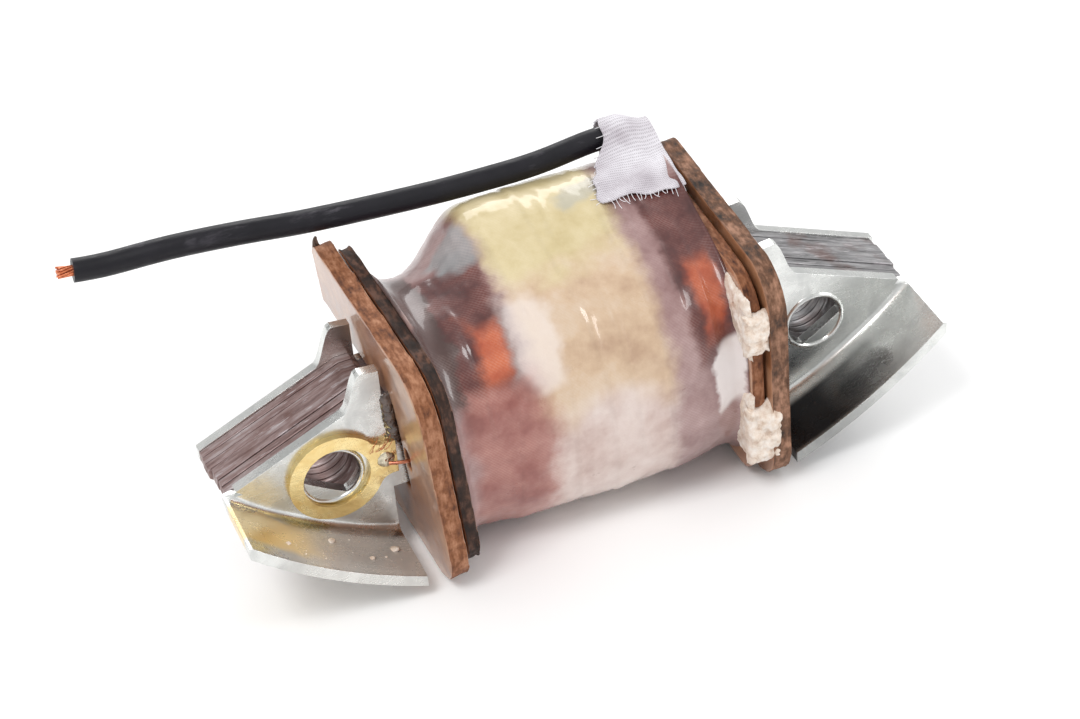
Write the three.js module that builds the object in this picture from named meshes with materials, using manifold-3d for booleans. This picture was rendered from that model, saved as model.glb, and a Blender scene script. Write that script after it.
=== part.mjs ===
// Stator coil of a small engine's magneto ignition, in millimetres, +Z up.
//
// X runs along the coil, -Y is the face with the brass earth tag, and the curved pole faces look down.
// Drawn about the middle of the core, with the two screw holes on the line z = 0, then lifted so that
// the coil stands on its two fibre cheeks with the origin under the middle of its base.

import * as THREE from "three";
import { mergeVertices } from "three/addons/utils/BufferGeometryUtils.js";
import Module from "manifold-3d";

const wasm = await Module();
wasm.setup();

// ---- Driving dimensions -------------------------------------------------------------------------

const holeSpacing = 52; // between the two mounting screws
const holeDiameter = 5.8; // clearance for an M5 screw
const headReach = 10.9; // from each hole out to the end of its head
const tagToHead = 1.1; // from the tag's ring in to where the head starts
const poleRadius = 54.8; // outside of the curved pole faces
const seatBelowTag = 0.12; // flat left between the tag's ring and the bend of the pole shoe
const tipEdge = 1.3; // height of a head's outer end
const barHeight = 10; // core bar inside the coil
const shoulderRise = 1.4; // top edge of a lamination beside the cheek, above the bar
const shoulderLength = 2; // of that edge, before it slopes down to the tip
const shoulderChamfer = 0.6;
const barCentre = 1.2; // middle of the bar and of the cheeks above the hole line

const laminationCount = 7;
const laminationThickness = 1.0;
const backPlateThickness = 1.0;
const shoePlateThickness = 1.2;
const earRise = 3.4; // small ears of the two cover plates beside the cheeks, above the shoulder
const earWidth = 1.9;
const earFoot = 2.1; // length of the curve that runs down from the ear to the sloping edge
const earDrop = 0.2; // fall of its top towards the cheek
const shoeDepth = 7.9; // how far the pole shoes stand forward of the plate
const shoeBendRadius = 0.7; // inside radius of their bend

const cheekWidth = 28.2; // along Y
const cheekHeight = 26.6;
const cheekFrontCorner = 5;
const cheekBackCorner = 2.2;
const cheekClearance = 1; // outer face of each cheek to the head of the core
const outerLayer = 2.0; // fibre thickness
const innerLayer = 1.4;
const layerGap = 0.3; // varnish joint between the two layers
const innerLayerInset = 0.9; // how much smaller the inner layer is all round
const windowClearance = 0.4; // round the core bar
const leftCheekLean = 3.8; // degrees that the winding has pushed its top edge outwards
const leftCheekTurn = 1.6; // and its back edge
const rightCheekTurn = 1;
const wireSlotWidth = 1.2;
const wireSlotHeight = 2.4;
const wireSlotWall = 0.8; // left between the slot and the window for the core

const formerWall = 0.8;
const formerClearance = 0.3; // former to core bar
const formerCorner = 1.2;
const formerInnerCorner = 0.1;
const layerClearance = 0.3; // between the coil's wrapped layers
const coilMarginY = 1.7; // taped coil at its fattest, in from the front and back edges of the cheeks
const coilMarginZ = 0.3; // and in from their top and bottom edges
const coilSquareness = 2.6; // 2 is an ellipse, and more is squarer
const coilEndShare = 0.93; // size of the coil at its ends, as a share of its middle
const tapeThickness = 0.7;
const bandThickness = 0.4;
const bandFromLeft = 6.5; // ends of the paper band from the ends of the coil
const bandFromRight = 5.6;
const padHeight = 4.4; // the folded pad under the lead, at the top of the back
const padAngle = 50; // degrees from +Y towards +Z
const padSpread = 36;
const padFromLeft = 0.7; // where the pad's ramp starts and how long it is
const padRamp = 8;

const tagOuterRadius = 4.9;
const tagInnerRadius = 3.45;
const tagThickness = 0.7;
const tagShift = 0.3; // ring off the centre of the screw hole
const tabWidth = 3.9;
const tabRise = 0.5; // middle of the tab above the hole line
const tabClearance = 0.45; // end of the tab to the cheek
const tabFillet = 0.9;
const tabBlend = 1.6; // length of the curve from the ring into the tab
const tabEase = 0.4; // from the ring to that curve's control point
const solderRadius = 0.9;
const solderHeight = 0.45;
const solderInset = 0.25; // solder to the end of the tab

const magnetWireDiameter = 0.4;
const startWireRise = 0.6; // from the winding up to the tab
const finishWireRun = [ // inward and down from the lead's end, as the wire goes into the winding
  [0.5, 0.8],
  [1.4, 2.8],
  [2.6, 5],
];
const leadDiameter = 2.4;
const leadBore = 1.7;
const conductorDiameter = 1.1;
const strippedLength = 1.6; // bare copper at the cut end of the lead
const jointTail = 0.8; // and at its soldered end
const jointRadius = 0.95; // of the joint's solder at its widest
const jointLeadRadius = 0.66; // at the end towards the lead
const jointTipRadius = 0.57; // at the end towards the finish wire
const jointRound = 0.1; // rounding at the lead's end
const jointWidest = 0.38; // from the lead's end to the widest place
const jointLength = 0.9;
const jointDrop = 0.1; // joint below the lead's own centreline
const leadPastPad = 4; // degrees from the ridge of the pad to the lead's seat
const adhesiveThickness = 0.45;
const adhesiveGap = 0.1;
const adhesiveWidth = 5;
const adhesiveCorner = 2.2;
const upperAdhesiveHeight = 7.6;
const upperAdhesiveDrop = 1.9; // its top below the cheek's top
const lowerAdhesiveHeight = 7.4;
const lowerAdhesiveRise = 5; // its bottom above the cheek's bottom
const gauzeThickness = 0.35;
const gauzeLength = 7; // along the coil, from its right end
const gauzeFront = 34; // degrees that the gauze reaches from the lead towards the front
const gauzeBack = 14; // and towards the back
const gauzeHump = 7.5; // angular half-width of its hump over the lead

// Facets of the curved surfaces.
const plateArcSegments = 16;
const cheekArcSegments = 4;
const poleSteps = 12;
const footSteps = 6;
const bendSteps = 5;
const sleeveSteps = 12;
const sleeveTurns = 36;
const gauzeSteps = 6;
const gauzeTurns = 36;
const leadSteps = 32;
const leadSides = 8;
const wireSteps = 14;
const wireSides = 6;
const beadSides = 12;
const domeSteps = 4;

// ---- Places worked out from them ----------------------------------------------------------------

function sine(degrees) {
  return Math.sin(THREE.MathUtils.degToRad(degrees));
}

const stackDepth = shoePlateThickness + laminationCount * laminationThickness + backPlateThickness;
const frontFace = -stackDepth / 2;
const backFace = stackDepth / 2;
const holeX = holeSpacing / 2;
const headInner = holeX - tagOuterRadius - tagToHead;
const headOuter = holeX + headReach;
const bendStart = poleRadius - shoePlateThickness - shoeBendRadius;
const seatRadius = bendStart - seatBelowTag - tagOuterRadius;
const poleCentreHeight = Math.sqrt(seatRadius ** 2 - (holeX - tagShift) ** 2);
const barBottom = barCentre - barHeight / 2;
const barTop = barCentre + barHeight / 2;
const shoulderHeight = barTop + shoulderRise;
const shoulderEnd = headInner + shoulderLength;
const earTop = shoulderHeight + earRise;
const cheekBottom = barCentre - cheekHeight / 2;
const cheekOuterFace = headInner - cheekClearance;
const cheekInnerFace = cheekOuterFace - outerLayer - layerGap - innerLayer;
const leftTilt = (cheekHeight / 2) * sine(leftCheekLean) + (cheekWidth / 2) * sine(leftCheekTurn);
const rightTilt = (cheekWidth / 2) * sine(rightCheekTurn);
const coilLeft = -(cheekInnerFace - leftTilt - layerClearance);
const coilRight = cheekInnerFace - rightTilt - adhesiveGap - adhesiveThickness - layerClearance;
const windingLeft = coilLeft + layerClearance;
const windingRight = coilRight - layerClearance;
const coilHalfWidth = cheekWidth / 2 - coilMarginY;
const coilHalfHeight = cheekHeight / 2 - coilMarginZ;
const padStart = coilLeft + padFromLeft;
const gauzeStart = coilRight - gauzeLength;
const wireSlotY = frontFace - windowClearance - wireSlotWall - wireSlotWidth / 2;

// ---- Small tools ----------------------------------------------------------------------------------

function toSolid(geometry) {
  const bare = geometry.clone();
  bare.deleteAttribute("normal");
  bare.deleteAttribute("uv");
  const merged = mergeVertices(bare, 1e-4);
  const mesh = new wasm.Mesh({
    numProp: 3,
    vertProperties: new Float32Array(merged.attributes.position.array),
    triVerts: new Uint32Array(merged.index.array),
  });
  mesh.merge();
  return new wasm.Manifold(mesh);
}

function toGeometry(solid) {
  const mesh = solid.getMesh();
  const geometry = new THREE.BufferGeometry();
  geometry.setAttribute("position", new THREE.BufferAttribute(mesh.vertProperties, 3));
  geometry.setIndex(new THREE.BufferAttribute(mesh.triVerts, 1));
  geometry.computeVertexNormals();
  return geometry;
}

// A flat outline in the XZ plane as a sheet whose back surface is at y = back.
function sheetXZ(shape, back, thickness) {
  const settings = { depth: thickness, bevelEnabled: false, curveSegments: plateArcSegments };
  const geometry = new THREE.ExtrudeGeometry(shape, settings);
  geometry.rotateX(Math.PI / 2);
  geometry.translate(0, back, 0);
  return geometry;
}

// A flat outline in the YZ plane as a sheet that starts at x = start.
function sheetYZ(shape, start, thickness) {
  const settings = { depth: thickness, bevelEnabled: false, curveSegments: cheekArcSegments };
  const geometry = new THREE.ExtrudeGeometry(shape, settings);
  geometry.rotateX(Math.PI / 2);
  geometry.rotateZ(Math.PI / 2);
  geometry.translate(start, 0, 0);
  return geometry;
}

// corner is the radius of all four corners, or of the two on the left if right is given.
function roundedRectangle(width, height, corner, centreX = 0, centreY = 0, right = corner) {
  const x0 = centreX - width / 2;
  const x1 = x0 + width;
  const y0 = centreY - height / 2;
  const y1 = y0 + height;
  const shape = new THREE.Shape();
  shape.moveTo(x0 + corner, y0);
  shape.lineTo(x1 - right, y0);
  shape.absarc(x1 - right, y0 + right, right, -Math.PI / 2, 0, false);
  shape.lineTo(x1, y1 - right);
  shape.absarc(x1 - right, y1 - right, right, 0, Math.PI / 2, false);
  shape.lineTo(x0 + corner, y1);
  shape.absarc(x0 + corner, y1 - corner, corner, Math.PI / 2, Math.PI, false);
  shape.lineTo(x0, y0 + corner);
  shape.absarc(x0 + corner, y0 + corner, corner, Math.PI, 1.5 * Math.PI, false);
  return shape;
}

// A round bar along a curve; a bore makes it a tube.
function roundBar(curve, diameter, steps, sides, bore = 0) {
  const section = new THREE.Shape();
  section.absarc(0, 0, diameter / 2, 0, 2 * Math.PI, false);
  if (bore > 0) {
    const hole = new THREE.Path();
    hole.absarc(0, 0, bore / 2, 0, 2 * Math.PI, true);
    section.holes.push(hole);
  }
  return new THREE.ExtrudeGeometry(section, {
    steps,
    curveSegments: sides / 2,
    bevelEnabled: false,
    extrudePath: curve,
  });
}

function material(color, roughness, metalness) {
  return new THREE.MeshStandardMaterial({ color, roughness, metalness });
}

const coil = new THREE.Group();

function add(name, geometry, look, parent = coil) {
  const mesh = new THREE.Mesh(geometry, look);
  mesh.name = name;
  parent.add(mesh);
  return mesh;
}

// ---- Laminated core -------------------------------------------------------------------------------

function poleHeight(x) {
  return poleCentreHeight - Math.sqrt(poleRadius ** 2 - x ** 2);
}

function slopeHeight(x) {
  const share = Math.max(0, x - shoulderEnd) / (headOuter - shoulderEnd);
  return shoulderHeight + (poleHeight(headOuter) + tipEdge - shoulderHeight) * share;
}

// Half of the sheet's outline from the bottom of the bar round the head to the top of the bar.
function headOutline(withEar) {
  const points = [[headInner, barBottom]];
  for (let i = 0; i <= poleSteps; i++) {
    const x = headInner + ((headOuter - headInner) * i) / poleSteps;
    points.push([x, poleHeight(x)]);
  }
  points.push([headOuter, slopeHeight(headOuter)]);
  if (withEar) {
    const earEnd = headInner + earWidth;
    for (let i = 0; i <= footSteps; i++) {
      const t = 1 - i / footSteps;
      const x = earEnd + earFoot * t;
      const blend = (1 + Math.cos(Math.PI * t)) / 2;
      points.push([x, slopeHeight(x) + (earTop - slopeHeight(x)) * blend]);
    }
    points.push([headInner, earTop - earDrop]);
  } else {
    points.push([shoulderEnd, shoulderHeight]);
    points.push([headInner + shoulderChamfer, shoulderHeight]);
    points.push([headInner, shoulderHeight - shoulderChamfer]);
  }
  points.push([headInner, barTop]);
  return points;
}

function coreShape(withEar) {
  const right = headOutline(withEar);
  const left = right.map(([x, z]) => [-x, z]).reverse();
  const shape = new THREE.Shape([...right, ...left].map(([x, z]) => new THREE.Vector2(x, z)));
  for (const side of [-1, 1]) {
    const hole = new THREE.Path();
    hole.absarc(side * holeX, 0, holeDiameter / 2, 0, 2 * Math.PI, true);
    shape.holes.push(hole);
  }
  return shape;
}

function backPlate() {
  return toGeometry(toSolid(sheetXZ(coreShape(true), backFace, backPlateThickness)));
}

function lamination(index) {
  const back = backFace - backPlateThickness - index * laminationThickness;
  return toGeometry(toSolid(sheetXZ(coreShape(false), back, laminationThickness)));
}

const poleSegments = 160;
const flangeWidth = 4; // flat part of the lip's ring, which joins the plate
const flangeOverlap = 1; // of the ring outside the plate's own edge

// The curved lip of the front plate: its section turned about the centre of the pole curve.
function shoeRing() {
  const inside = poleRadius - shoePlateThickness;
  const outerBend = shoeBendRadius + shoePlateThickness;
  const section = [new THREE.Vector2(inside - flangeWidth, 0)];
  for (let i = 0; i <= bendSteps; i++) {
    const a = ((Math.PI / 2) * i) / bendSteps;
    section.push(
      new THREE.Vector2(
        bendStart + shoeBendRadius * Math.sin(a),
        -shoeBendRadius + shoeBendRadius * Math.cos(a),
      ),
    );
  }
  section.push(new THREE.Vector2(inside, -shoeDepth));
  section.push(new THREE.Vector2(poleRadius, -shoeDepth));
  for (let i = 0; i <= bendSteps; i++) {
    const a = (Math.PI / 2) * (1 - i / bendSteps);
    section.push(
      new THREE.Vector2(bendStart + outerBend * Math.sin(a), -shoeBendRadius + outerBend * Math.cos(a)),
    );
  }
  section.push(new THREE.Vector2(inside - flangeWidth, shoePlateThickness));
  section.push(section[0].clone());
  const ring = new THREE.LatheGeometry(section, poleSegments);
  ring.translate(0, frontFace, poleCentreHeight);
  return toSolid(ring);
}

function poleShoePlate() {
  const plateEdge = poleRadius - shoePlateThickness - flangeOverlap;
  const reach = 2 * poleRadius;
  const plate = toSolid(sheetXZ(coreShape(true), frontFace + shoePlateThickness, shoePlateThickness));
  const disc = new THREE.CylinderGeometry(plateEdge, plateEdge, 4 * shoePlateThickness, poleSegments);
  disc.translate(0, frontFace, poleCentreHeight);
  let whole = plate.intersect(toSolid(disc));
  const ring = shoeRing();
  const width = headOuter - headInner;
  const depth = 2 * (shoeDepth + shoePlateThickness);
  for (const side of [-1, 1]) {
    const sector = new THREE.BoxGeometry(width, depth, reach);
    sector.translate((side * (headInner + headOuter)) / 2, frontFace, slopeHeight(headOuter) - reach / 2);
    whole = whole.add(ring.intersect(toSolid(sector)));
  }
  return toGeometry(whole);
}

// ---- Fibre cheeks ---------------------------------------------------------------------------------

function wireSlot() {
  const half = wireSlotWidth / 2;
  const low = tabRise - wireSlotHeight / 2 + half;
  const high = tabRise + wireSlotHeight / 2 - half;
  const slot = new THREE.Path();
  slot.absarc(wireSlotY, high, half, 0, Math.PI, false);
  slot.absarc(wireSlotY, low, half, Math.PI, 2 * Math.PI, false);
  slot.closePath();
  return slot;
}

// One layer is a plate slotted from its edge to the core, so that it can be slid over the bar:
// the outer layer from the front and the inner layer from above.
function cheekLayer(inset, start, thickness, openTo) {
  const width = cheekWidth - 2 * inset;
  const height = cheekHeight - 2 * inset;
  const front = cheekFrontCorner - inset / 2;
  const back = cheekBackCorner - inset / 2;
  const outline = roundedRectangle(width, height, front, 0, barCentre, back);
  outline.holes.push(wireSlot());
  const plate = toSolid(sheetYZ(outline, start, thickness));
  const gapY = stackDepth + 2 * windowClearance;
  const gapZ = barHeight + 2 * windowClearance;
  const reach = cheekWidth;
  const slot = new THREE.BoxGeometry(
    thickness + 2 * reach,
    openTo === "back" ? gapY / 2 + reach : gapY,
    openTo === "back" ? gapZ : gapZ / 2 + reach,
  );
  const shiftY = openTo === "back" ? (reach - gapY / 2) / 2 : 0;
  const shiftZ = openTo === "back" ? 0 : -(reach - gapZ / 2) / 2;
  slot.translate(start + thickness / 2, shiftY, barCentre + shiftZ);
  return plate.subtract(toSolid(slot));
}

// side is -1 for the left cheek and 1 for the right one. Tilted or not, both stand on one level.
function addCheek(side, name, lean, turn, look) {
  const holder = new THREE.Group();
  holder.position.set((side * (cheekOuterFace + cheekInnerFace)) / 2, 0, barCentre);
  holder.rotation.order = "ZYX";
  holder.rotation.y = THREE.MathUtils.degToRad(side * lean);
  holder.rotation.z = THREE.MathUtils.degToRad(-side * turn);
  const half = (cheekOuterFace - cheekInnerFace) / 2;
  const outerStart = side > 0 ? half - outerLayer : -half;
  const innerStart = side > 0 ? -half : half - innerLayer;
  const layers = [
    ["outer", cheekLayer(0, outerStart, outerLayer, "back")],
    ["inner", cheekLayer(innerLayerInset, innerStart, innerLayer, "bottom")],
  ];
  for (const [layer, solid] of layers) {
    const geometry = toGeometry(solid);
    geometry.translate(0, 0, -barCentre);
    add(`${name}_cheek_${layer}`, geometry, look, holder);
  }
  holder.updateMatrixWorld(true);
  holder.position.z += cheekBottom - new THREE.Box3().setFromObject(holder, true).min.z;
  coil.add(holder);
  return holder;
}

// ---- Former, winding and wrappings ----------------------------------------------------------------

function superellipse(angle, halfWidth, halfHeight, power) {
  const c = Math.abs(Math.cos(angle)) / halfWidth;
  const s = Math.abs(Math.sin(angle)) / halfHeight;
  return (c ** power + s ** power) ** (-1 / power);
}

function smooth(t) {
  const k = Math.min(1, Math.max(0, t));
  return k * k * (3 - 2 * k);
}

function angleFrom(angle, degrees) {
  const turn = angle - THREE.MathUtils.degToRad(degrees);
  return THREE.MathUtils.radToDeg(Math.atan2(Math.sin(turn), Math.cos(turn)));
}

// Radius of the wound coil without its pad, at an angle round the bar and a place along it.
function roundCoil(angle, x) {
  const t = x < 0 ? x / coilLeft : x / coilRight;
  const share = 1 - (1 - coilEndShare) * t ** 3;
  return share * superellipse(angle, coilHalfWidth, coilHalfHeight, coilSquareness);
}

function tapeSurface(angle, x) {
  const lobe = Math.exp(-((angleFrom(angle, padAngle) / padSpread) ** 2));
  return roundCoil(angle, x) + padHeight * lobe * smooth((x - padStart) / padRamp);
}

function windingSurface(angle, x) {
  return roundCoil(angle, x) - tapeThickness - bandThickness - 2 * layerClearance;
}

// A ring along X between two surfaces, or a solid barrel if the inner one is left out. It is turned
// with radii that only mark its three surfaces, and each point is then moved to its place.
function sleeve(start, end, outer, inner = null) {
  const marks = { axis: 0, inner: 1, outer: 2 };
  const profile = [];
  const stations = Array.from(
    { length: sleeveSteps + 1 },
    (_, i) => start + ((end - start) * i) / sleeveSteps,
  );
  if (inner) {
    stations.forEach((x) => profile.push(new THREE.Vector2(marks.outer, x)));
    stations.reverse().forEach((x) => profile.push(new THREE.Vector2(marks.inner, x)));
    profile.push(profile[0].clone());
  } else {
    profile.push(new THREE.Vector2(marks.axis, start));
    stations.forEach((x) => profile.push(new THREE.Vector2(marks.outer, x)));
    profile.push(new THREE.Vector2(marks.axis, end));
  }
  const geometry = new THREE.LatheGeometry(profile, sleeveTurns);
  const place = geometry.attributes.position;
  for (let i = 0; i < place.count; i++) {
    const x = place.getY(i);
    const mark = Math.round(Math.hypot(place.getX(i), place.getZ(i)));
    const angle = Math.atan2(place.getX(i), place.getZ(i));
    const surface = mark === marks.outer ? outer : inner;
    const radius = mark === marks.axis ? 0 : surface(angle, x);
    place.setXYZ(i, x, radius * Math.cos(angle), barCentre + radius * Math.sin(angle));
  }
  return toSolid(geometry);
}

function former() {
  const innerWidth = stackDepth + 2 * formerClearance;
  const innerHeight = barHeight + 2 * formerClearance;
  const outline = roundedRectangle(
    innerWidth + 2 * formerWall,
    innerHeight + 2 * formerWall,
    formerCorner,
    0,
    barCentre,
  );
  outline.holes.push(new THREE.Path(
    roundedRectangle(innerWidth, innerHeight, formerInnerCorner, 0, barCentre).getPoints(1),
  ));
  return toGeometry(toSolid(sheetYZ(outline, windingLeft, windingRight - windingLeft)));
}

function winding() {
  const wall = formerClearance + formerWall + layerClearance;
  const outline = roundedRectangle(
    stackDepth + 2 * wall,
    barHeight + 2 * wall,
    formerCorner,
    0,
    barCentre,
  );
  const core = toSolid(sheetYZ(outline, -cheekOuterFace, 2 * cheekOuterFace));
  return toGeometry(sleeve(windingLeft, windingRight, windingSurface).subtract(core));
}

function paperBand() {
  const outer = (angle, x) => tapeSurface(angle, x) - tapeThickness - layerClearance;
  const inner = (angle, x) => windingSurface(angle, x) + layerClearance;
  return toGeometry(sleeve(coilLeft + bandFromLeft, coilRight - bandFromRight, outer, inner));
}

function outerTape() {
  const inner = (angle, x) => tapeSurface(angle, x) - tapeThickness;
  return toGeometry(sleeve(coilLeft, coilRight, tapeSurface, inner));
}

// ---- Lead and its joint ----------------------------------------------------------------------------

// Where the lead lies on the taped coil, near its middle.
function leadSeat() {
  const angle = THREE.MathUtils.degToRad(padAngle + leadPastPad);
  const radius = tapeSurface(angle, 0) + leadDiameter / 2 + layerClearance;
  return { x: coilRight, y: radius * Math.cos(angle), z: barCentre + radius * Math.sin(angle) };
}

// Centreline from the buried end to the cut end: along X from the coil's right end, and along Y
// and Z from the seat. It lies along the top of the coil's back, passes over the corner of the
// left cheek and stands out straight, as a stiff lead does.
const seat = leadSeat();
const leadRoute = [
  [-2.7, 0.07, 0.58],
  [-4.2, 0.07, 0.63],
  [-6.2, 0.02, 0.48],
  [-9.2, -0.03, 0.08],
  [-12.2, -0.03, -0.12],
  [-16.2, 0.07, -0.12],
  [-20.2, 0.27, -0.17],
  [-24.2, 0.57, -0.12],
  [-28.2, 0.87, -0.02],
  [-32.2, 1.17, 0.13],
  [-36.2, 1.47, 0.33],
  [-40.2, 1.77, 0.78],
  [-44.2, 2.07, 1.03],
  [-48.2, 2.37, 1.23],
  [-52.2, 2.67, 1.13],
  [-55.2, 2.87, 1.03],
  [-57.8, 3.07, 1.33],
].map(([x, y, z]) => [seat.x + x, seat.y + y, seat.z + z]);

function curveThrough(points) {
  return new THREE.CatmullRomCurve3(points.map(([x, y, z]) => new THREE.Vector3(x, y, z)));
}

function leadSolids() {
  const start = leadRoute[0];
  const end = leadRoute.at(-1);
  const before = leadRoute.at(-2);
  const run = new THREE.Vector3(...end).sub(new THREE.Vector3(...before)).normalize();
  const tip = new THREE.Vector3(...end).addScaledVector(run, strippedLength);
  const core = [[start[0] + jointTail, start[1], start[2] - jointDrop], ...leadRoute, tip.toArray()];
  return {
    insulation: roundBar(curveThrough(leadRoute), leadDiameter, leadSteps, leadSides, leadBore),
    conductor: roundBar(curveThrough(core), conductorDiameter, leadSteps, wireSides),
  };
}

// The finish wire of the winding, the solder that joins it to the lead, and the gauze over both.
function leadJoint() {
  const [x, y, z] = leadRoute[0];
  const start = x + jointTail + layerClearance;
  const profile = [
    [0, 0],
    [jointLeadRadius, jointRound],
    [jointRadius, jointWidest],
    [jointTipRadius, jointLength],
    [0, jointLength],
  ].map(([r, h]) => new THREE.Vector2(r, h));
  const bead = new THREE.LatheGeometry(profile, beadSides);
  bead.rotateZ(-Math.PI / 2);
  bead.translate(start, y, z - jointDrop);
  return toGeometry(toSolid(bead));
}

function leadPolar() {
  const [, y, z] = leadRoute[1];
  const angle = THREE.MathUtils.radToDeg(Math.atan2(z - barCentre, y));
  return { angle, radius: Math.hypot(y, z - barCentre) };
}

// A sheet laid over the lead and down both its sides onto the tape: a box whose length runs round
// the coil, its height along it and its depth through the sheet.
function leadGauze() {
  const { angle: ridge, radius } = leadPolar();
  const clear = radius + leadDiameter / 2 + layerClearance;
  const from = ridge - gauzeBack;
  const to = ridge + gauzeFront;
  const box = new THREE.BoxGeometry(1, 1, 1, gauzeTurns, gauzeSteps, 1);
  const place = box.attributes.position;
  for (let i = 0; i < place.count; i++) {
    const degrees = from + (to - from) * (place.getX(i) + 0.5);
    const angle = THREE.MathUtils.degToRad(degrees);
    const x = gauzeStart + gauzeLength * (place.getY(i) + 0.5);
    const rise = clear - tapeSurface(THREE.MathUtils.degToRad(ridge), x);
    const hump = rise * Math.exp(-(((degrees - ridge) / gauzeHump) ** 2));
    const under = tapeSurface(angle, x) + layerClearance + hump;
    const r = under + gauzeThickness * (place.getZ(i) + 0.5);
    place.setXYZ(i, x, r * Math.cos(angle), barCentre + r * Math.sin(angle));
  }
  return toGeometry(toSolid(box));
}

// ---- Earth tag and its wire -------------------------------------------------------------------------

const tabEnd = -(cheekOuterFace + tabClearance);
const solderX = tabEnd - solderRadius - solderInset;

function earthTag() {
  const centreX = -holeX + tagShift;
  const low = tabRise - tabWidth / 2;
  const high = tabRise + tabWidth / 2;
  const meetHigh = Math.asin((high + tabFillet) / tagOuterRadius);
  const meetLow = Math.asin((low - tabFillet) / tagOuterRadius);
  const xHigh = centreX + tagOuterRadius * Math.cos(meetHigh);
  const xLow = centreX + tagOuterRadius * Math.cos(meetLow);
  const shape = new THREE.Shape();
  shape.moveTo(xHigh, high + tabFillet);
  shape.absarc(centreX, 0, tagOuterRadius, meetHigh, 2 * Math.PI + meetLow, false);
  shape.quadraticCurveTo(xLow + tabEase, low, xLow + tabBlend, low);
  shape.lineTo(tabEnd, low);
  shape.lineTo(tabEnd, high);
  shape.lineTo(xHigh + tabBlend, high);
  shape.quadraticCurveTo(xHigh + tabEase, high, xHigh, high + tabFillet);
  const hole = new THREE.Path();
  hole.absarc(centreX, 0, tagInnerRadius, 0, 2 * Math.PI, true);
  shape.holes.push(hole);
  return toGeometry(toSolid(sheetXZ(shape, frontFace, tagThickness)));
}

// The start wire leaves the winding, goes out through the slot of the left cheek, level with the
// tab, and ends on the tab's solder.
function startWire() {
  const reach = magnetWireDiameter / 2 + layerClearance;
  const solderTop = frontFace - tagThickness - solderHeight - layerClearance;
  return roundBar(
    curveThrough([
      [windingLeft - reach, wireSlotY, tabRise - startWireRise],
      [-cheekInnerFace, wireSlotY, tabRise - startWireRise / 2],
      [-cheekOuterFace, wireSlotY, tabRise],
      [solderX, solderTop, tabRise],
    ]),
    magnetWireDiameter,
    wireSteps,
    wireSides,
  );
}

function tagSolder() {
  const profile = [new THREE.Vector2(0, 0)];
  for (let i = 0; i < domeSteps; i++) {
    const angle = (i * Math.PI) / 2 / domeSteps;
    profile.push(new THREE.Vector2(solderRadius * Math.cos(angle), solderHeight * Math.sin(angle)));
  }
  profile.push(new THREE.Vector2(0, solderHeight));
  const bead = new THREE.LatheGeometry(profile, beadSides);
  bead.rotateX(Math.PI);
  bead.translate(solderX, frontFace - tagThickness, tabRise);
  return toGeometry(toSolid(bead));
}

function finishWire() {
  const [x, y, z] = leadRoute[0];
  const jointEnd = x + jointTail + jointLength + 2 * layerClearance;
  const drop = (coilRight + cheekInnerFace - rightTilt) / 2;
  return roundBar(
    curveThrough([
      [jointEnd, y, z - jointDrop],
      ...finishWireRun.map(([inward, down]) => [drop, y - inward, z - down]),
    ]),
    magnetWireDiameter,
    wireSteps,
    wireSides,
  );
}

// ---- Dried adhesive on the right cheek ----------------------------------------------------------------

// In the cheek's own frame, whose height 0 is its middle, on the face towards the winding.
function adhesive(centreZ, height) {
  const centreY = -cheekWidth / 2 + innerLayerInset + adhesiveWidth / 2;
  const outline = roundedRectangle(adhesiveWidth, height, adhesiveCorner, centreY, centreZ);
  const face = -(cheekOuterFace - cheekInnerFace) / 2;
  const start = face - adhesiveGap - adhesiveThickness;
  return toGeometry(toSolid(sheetYZ(outline, start, adhesiveThickness)));
}

// ---- Assembly ------------------------------------------------------------------------------------------

const looks = {
  zinc: () => material("#c3c8cb", 0.32, 0.9),
  steel: () => material("#7d716d", 0.55, 0.7),
  fibre: () => material("#7a4322", 0.4, 0),
  presspaper: () => material("#b79a6a", 0.8, 0),
  copper: () => material("#b3502b", 0.35, 0.8),
  paper: () => material("#e4d9a8", 0.8, 0),
  tape: () => material("#c9a39b", 0.35, 0),
  gauze: () => material("#eceaf0", 0.7, 0),
  brass: () => material("#d7b154", 0.3, 0.9),
  solder: () => material("#c9cccf", 0.3, 0.9),
  rubber: () => material("#15161a", 0.6, 0),
  adhesive: () => material("#ece4d8", 0.85, 0),
};

add("back_plate", backPlate(), looks.zinc());
for (let i = 0; i < laminationCount; i++) add(`lamination_${i + 1}`, lamination(i), looks.steel());
add("pole_shoe_plate", poleShoePlate(), looks.zinc());
addCheek(-1, "left", leftCheekLean, leftCheekTurn, looks.fibre());
const rightCheek = addCheek(1, "right", 0, rightCheekTurn, looks.fibre());
add("former_tube", former(), looks.presspaper());
add("winding", winding(), looks.copper());
add("paper_band", paperBand(), looks.paper());
add("outer_tape", outerTape(), looks.tape());
add("earth_tag", earthTag(), looks.brass());
add("tag_solder", tagSolder(), looks.solder());
add("start_wire", startWire(), looks.copper());
add("finish_wire", finishWire(), looks.copper());
add("lead_joint", leadJoint(), looks.solder());
add("lead_gauze", leadGauze(), looks.gauze());
const upperAdhesive = adhesive(
  cheekHeight / 2 - upperAdhesiveDrop - upperAdhesiveHeight / 2,
  upperAdhesiveHeight,
);
const lowerAdhesive = adhesive(
  -cheekHeight / 2 + lowerAdhesiveRise + lowerAdhesiveHeight / 2,
  lowerAdhesiveHeight,
);
add("adhesive_upper", upperAdhesive, looks.adhesive(), rightCheek);
add("adhesive_lower", lowerAdhesive, looks.adhesive(), rightCheek);
const lead = leadSolids();
add("lead_insulation", lead.insulation, looks.rubber());
add("lead_conductor", lead.conductor, looks.copper());

coil.position.z = -Math.min(cheekBottom, poleHeight(headInner));
coil.updateMatrixWorld(true);

export default coil;
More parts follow.
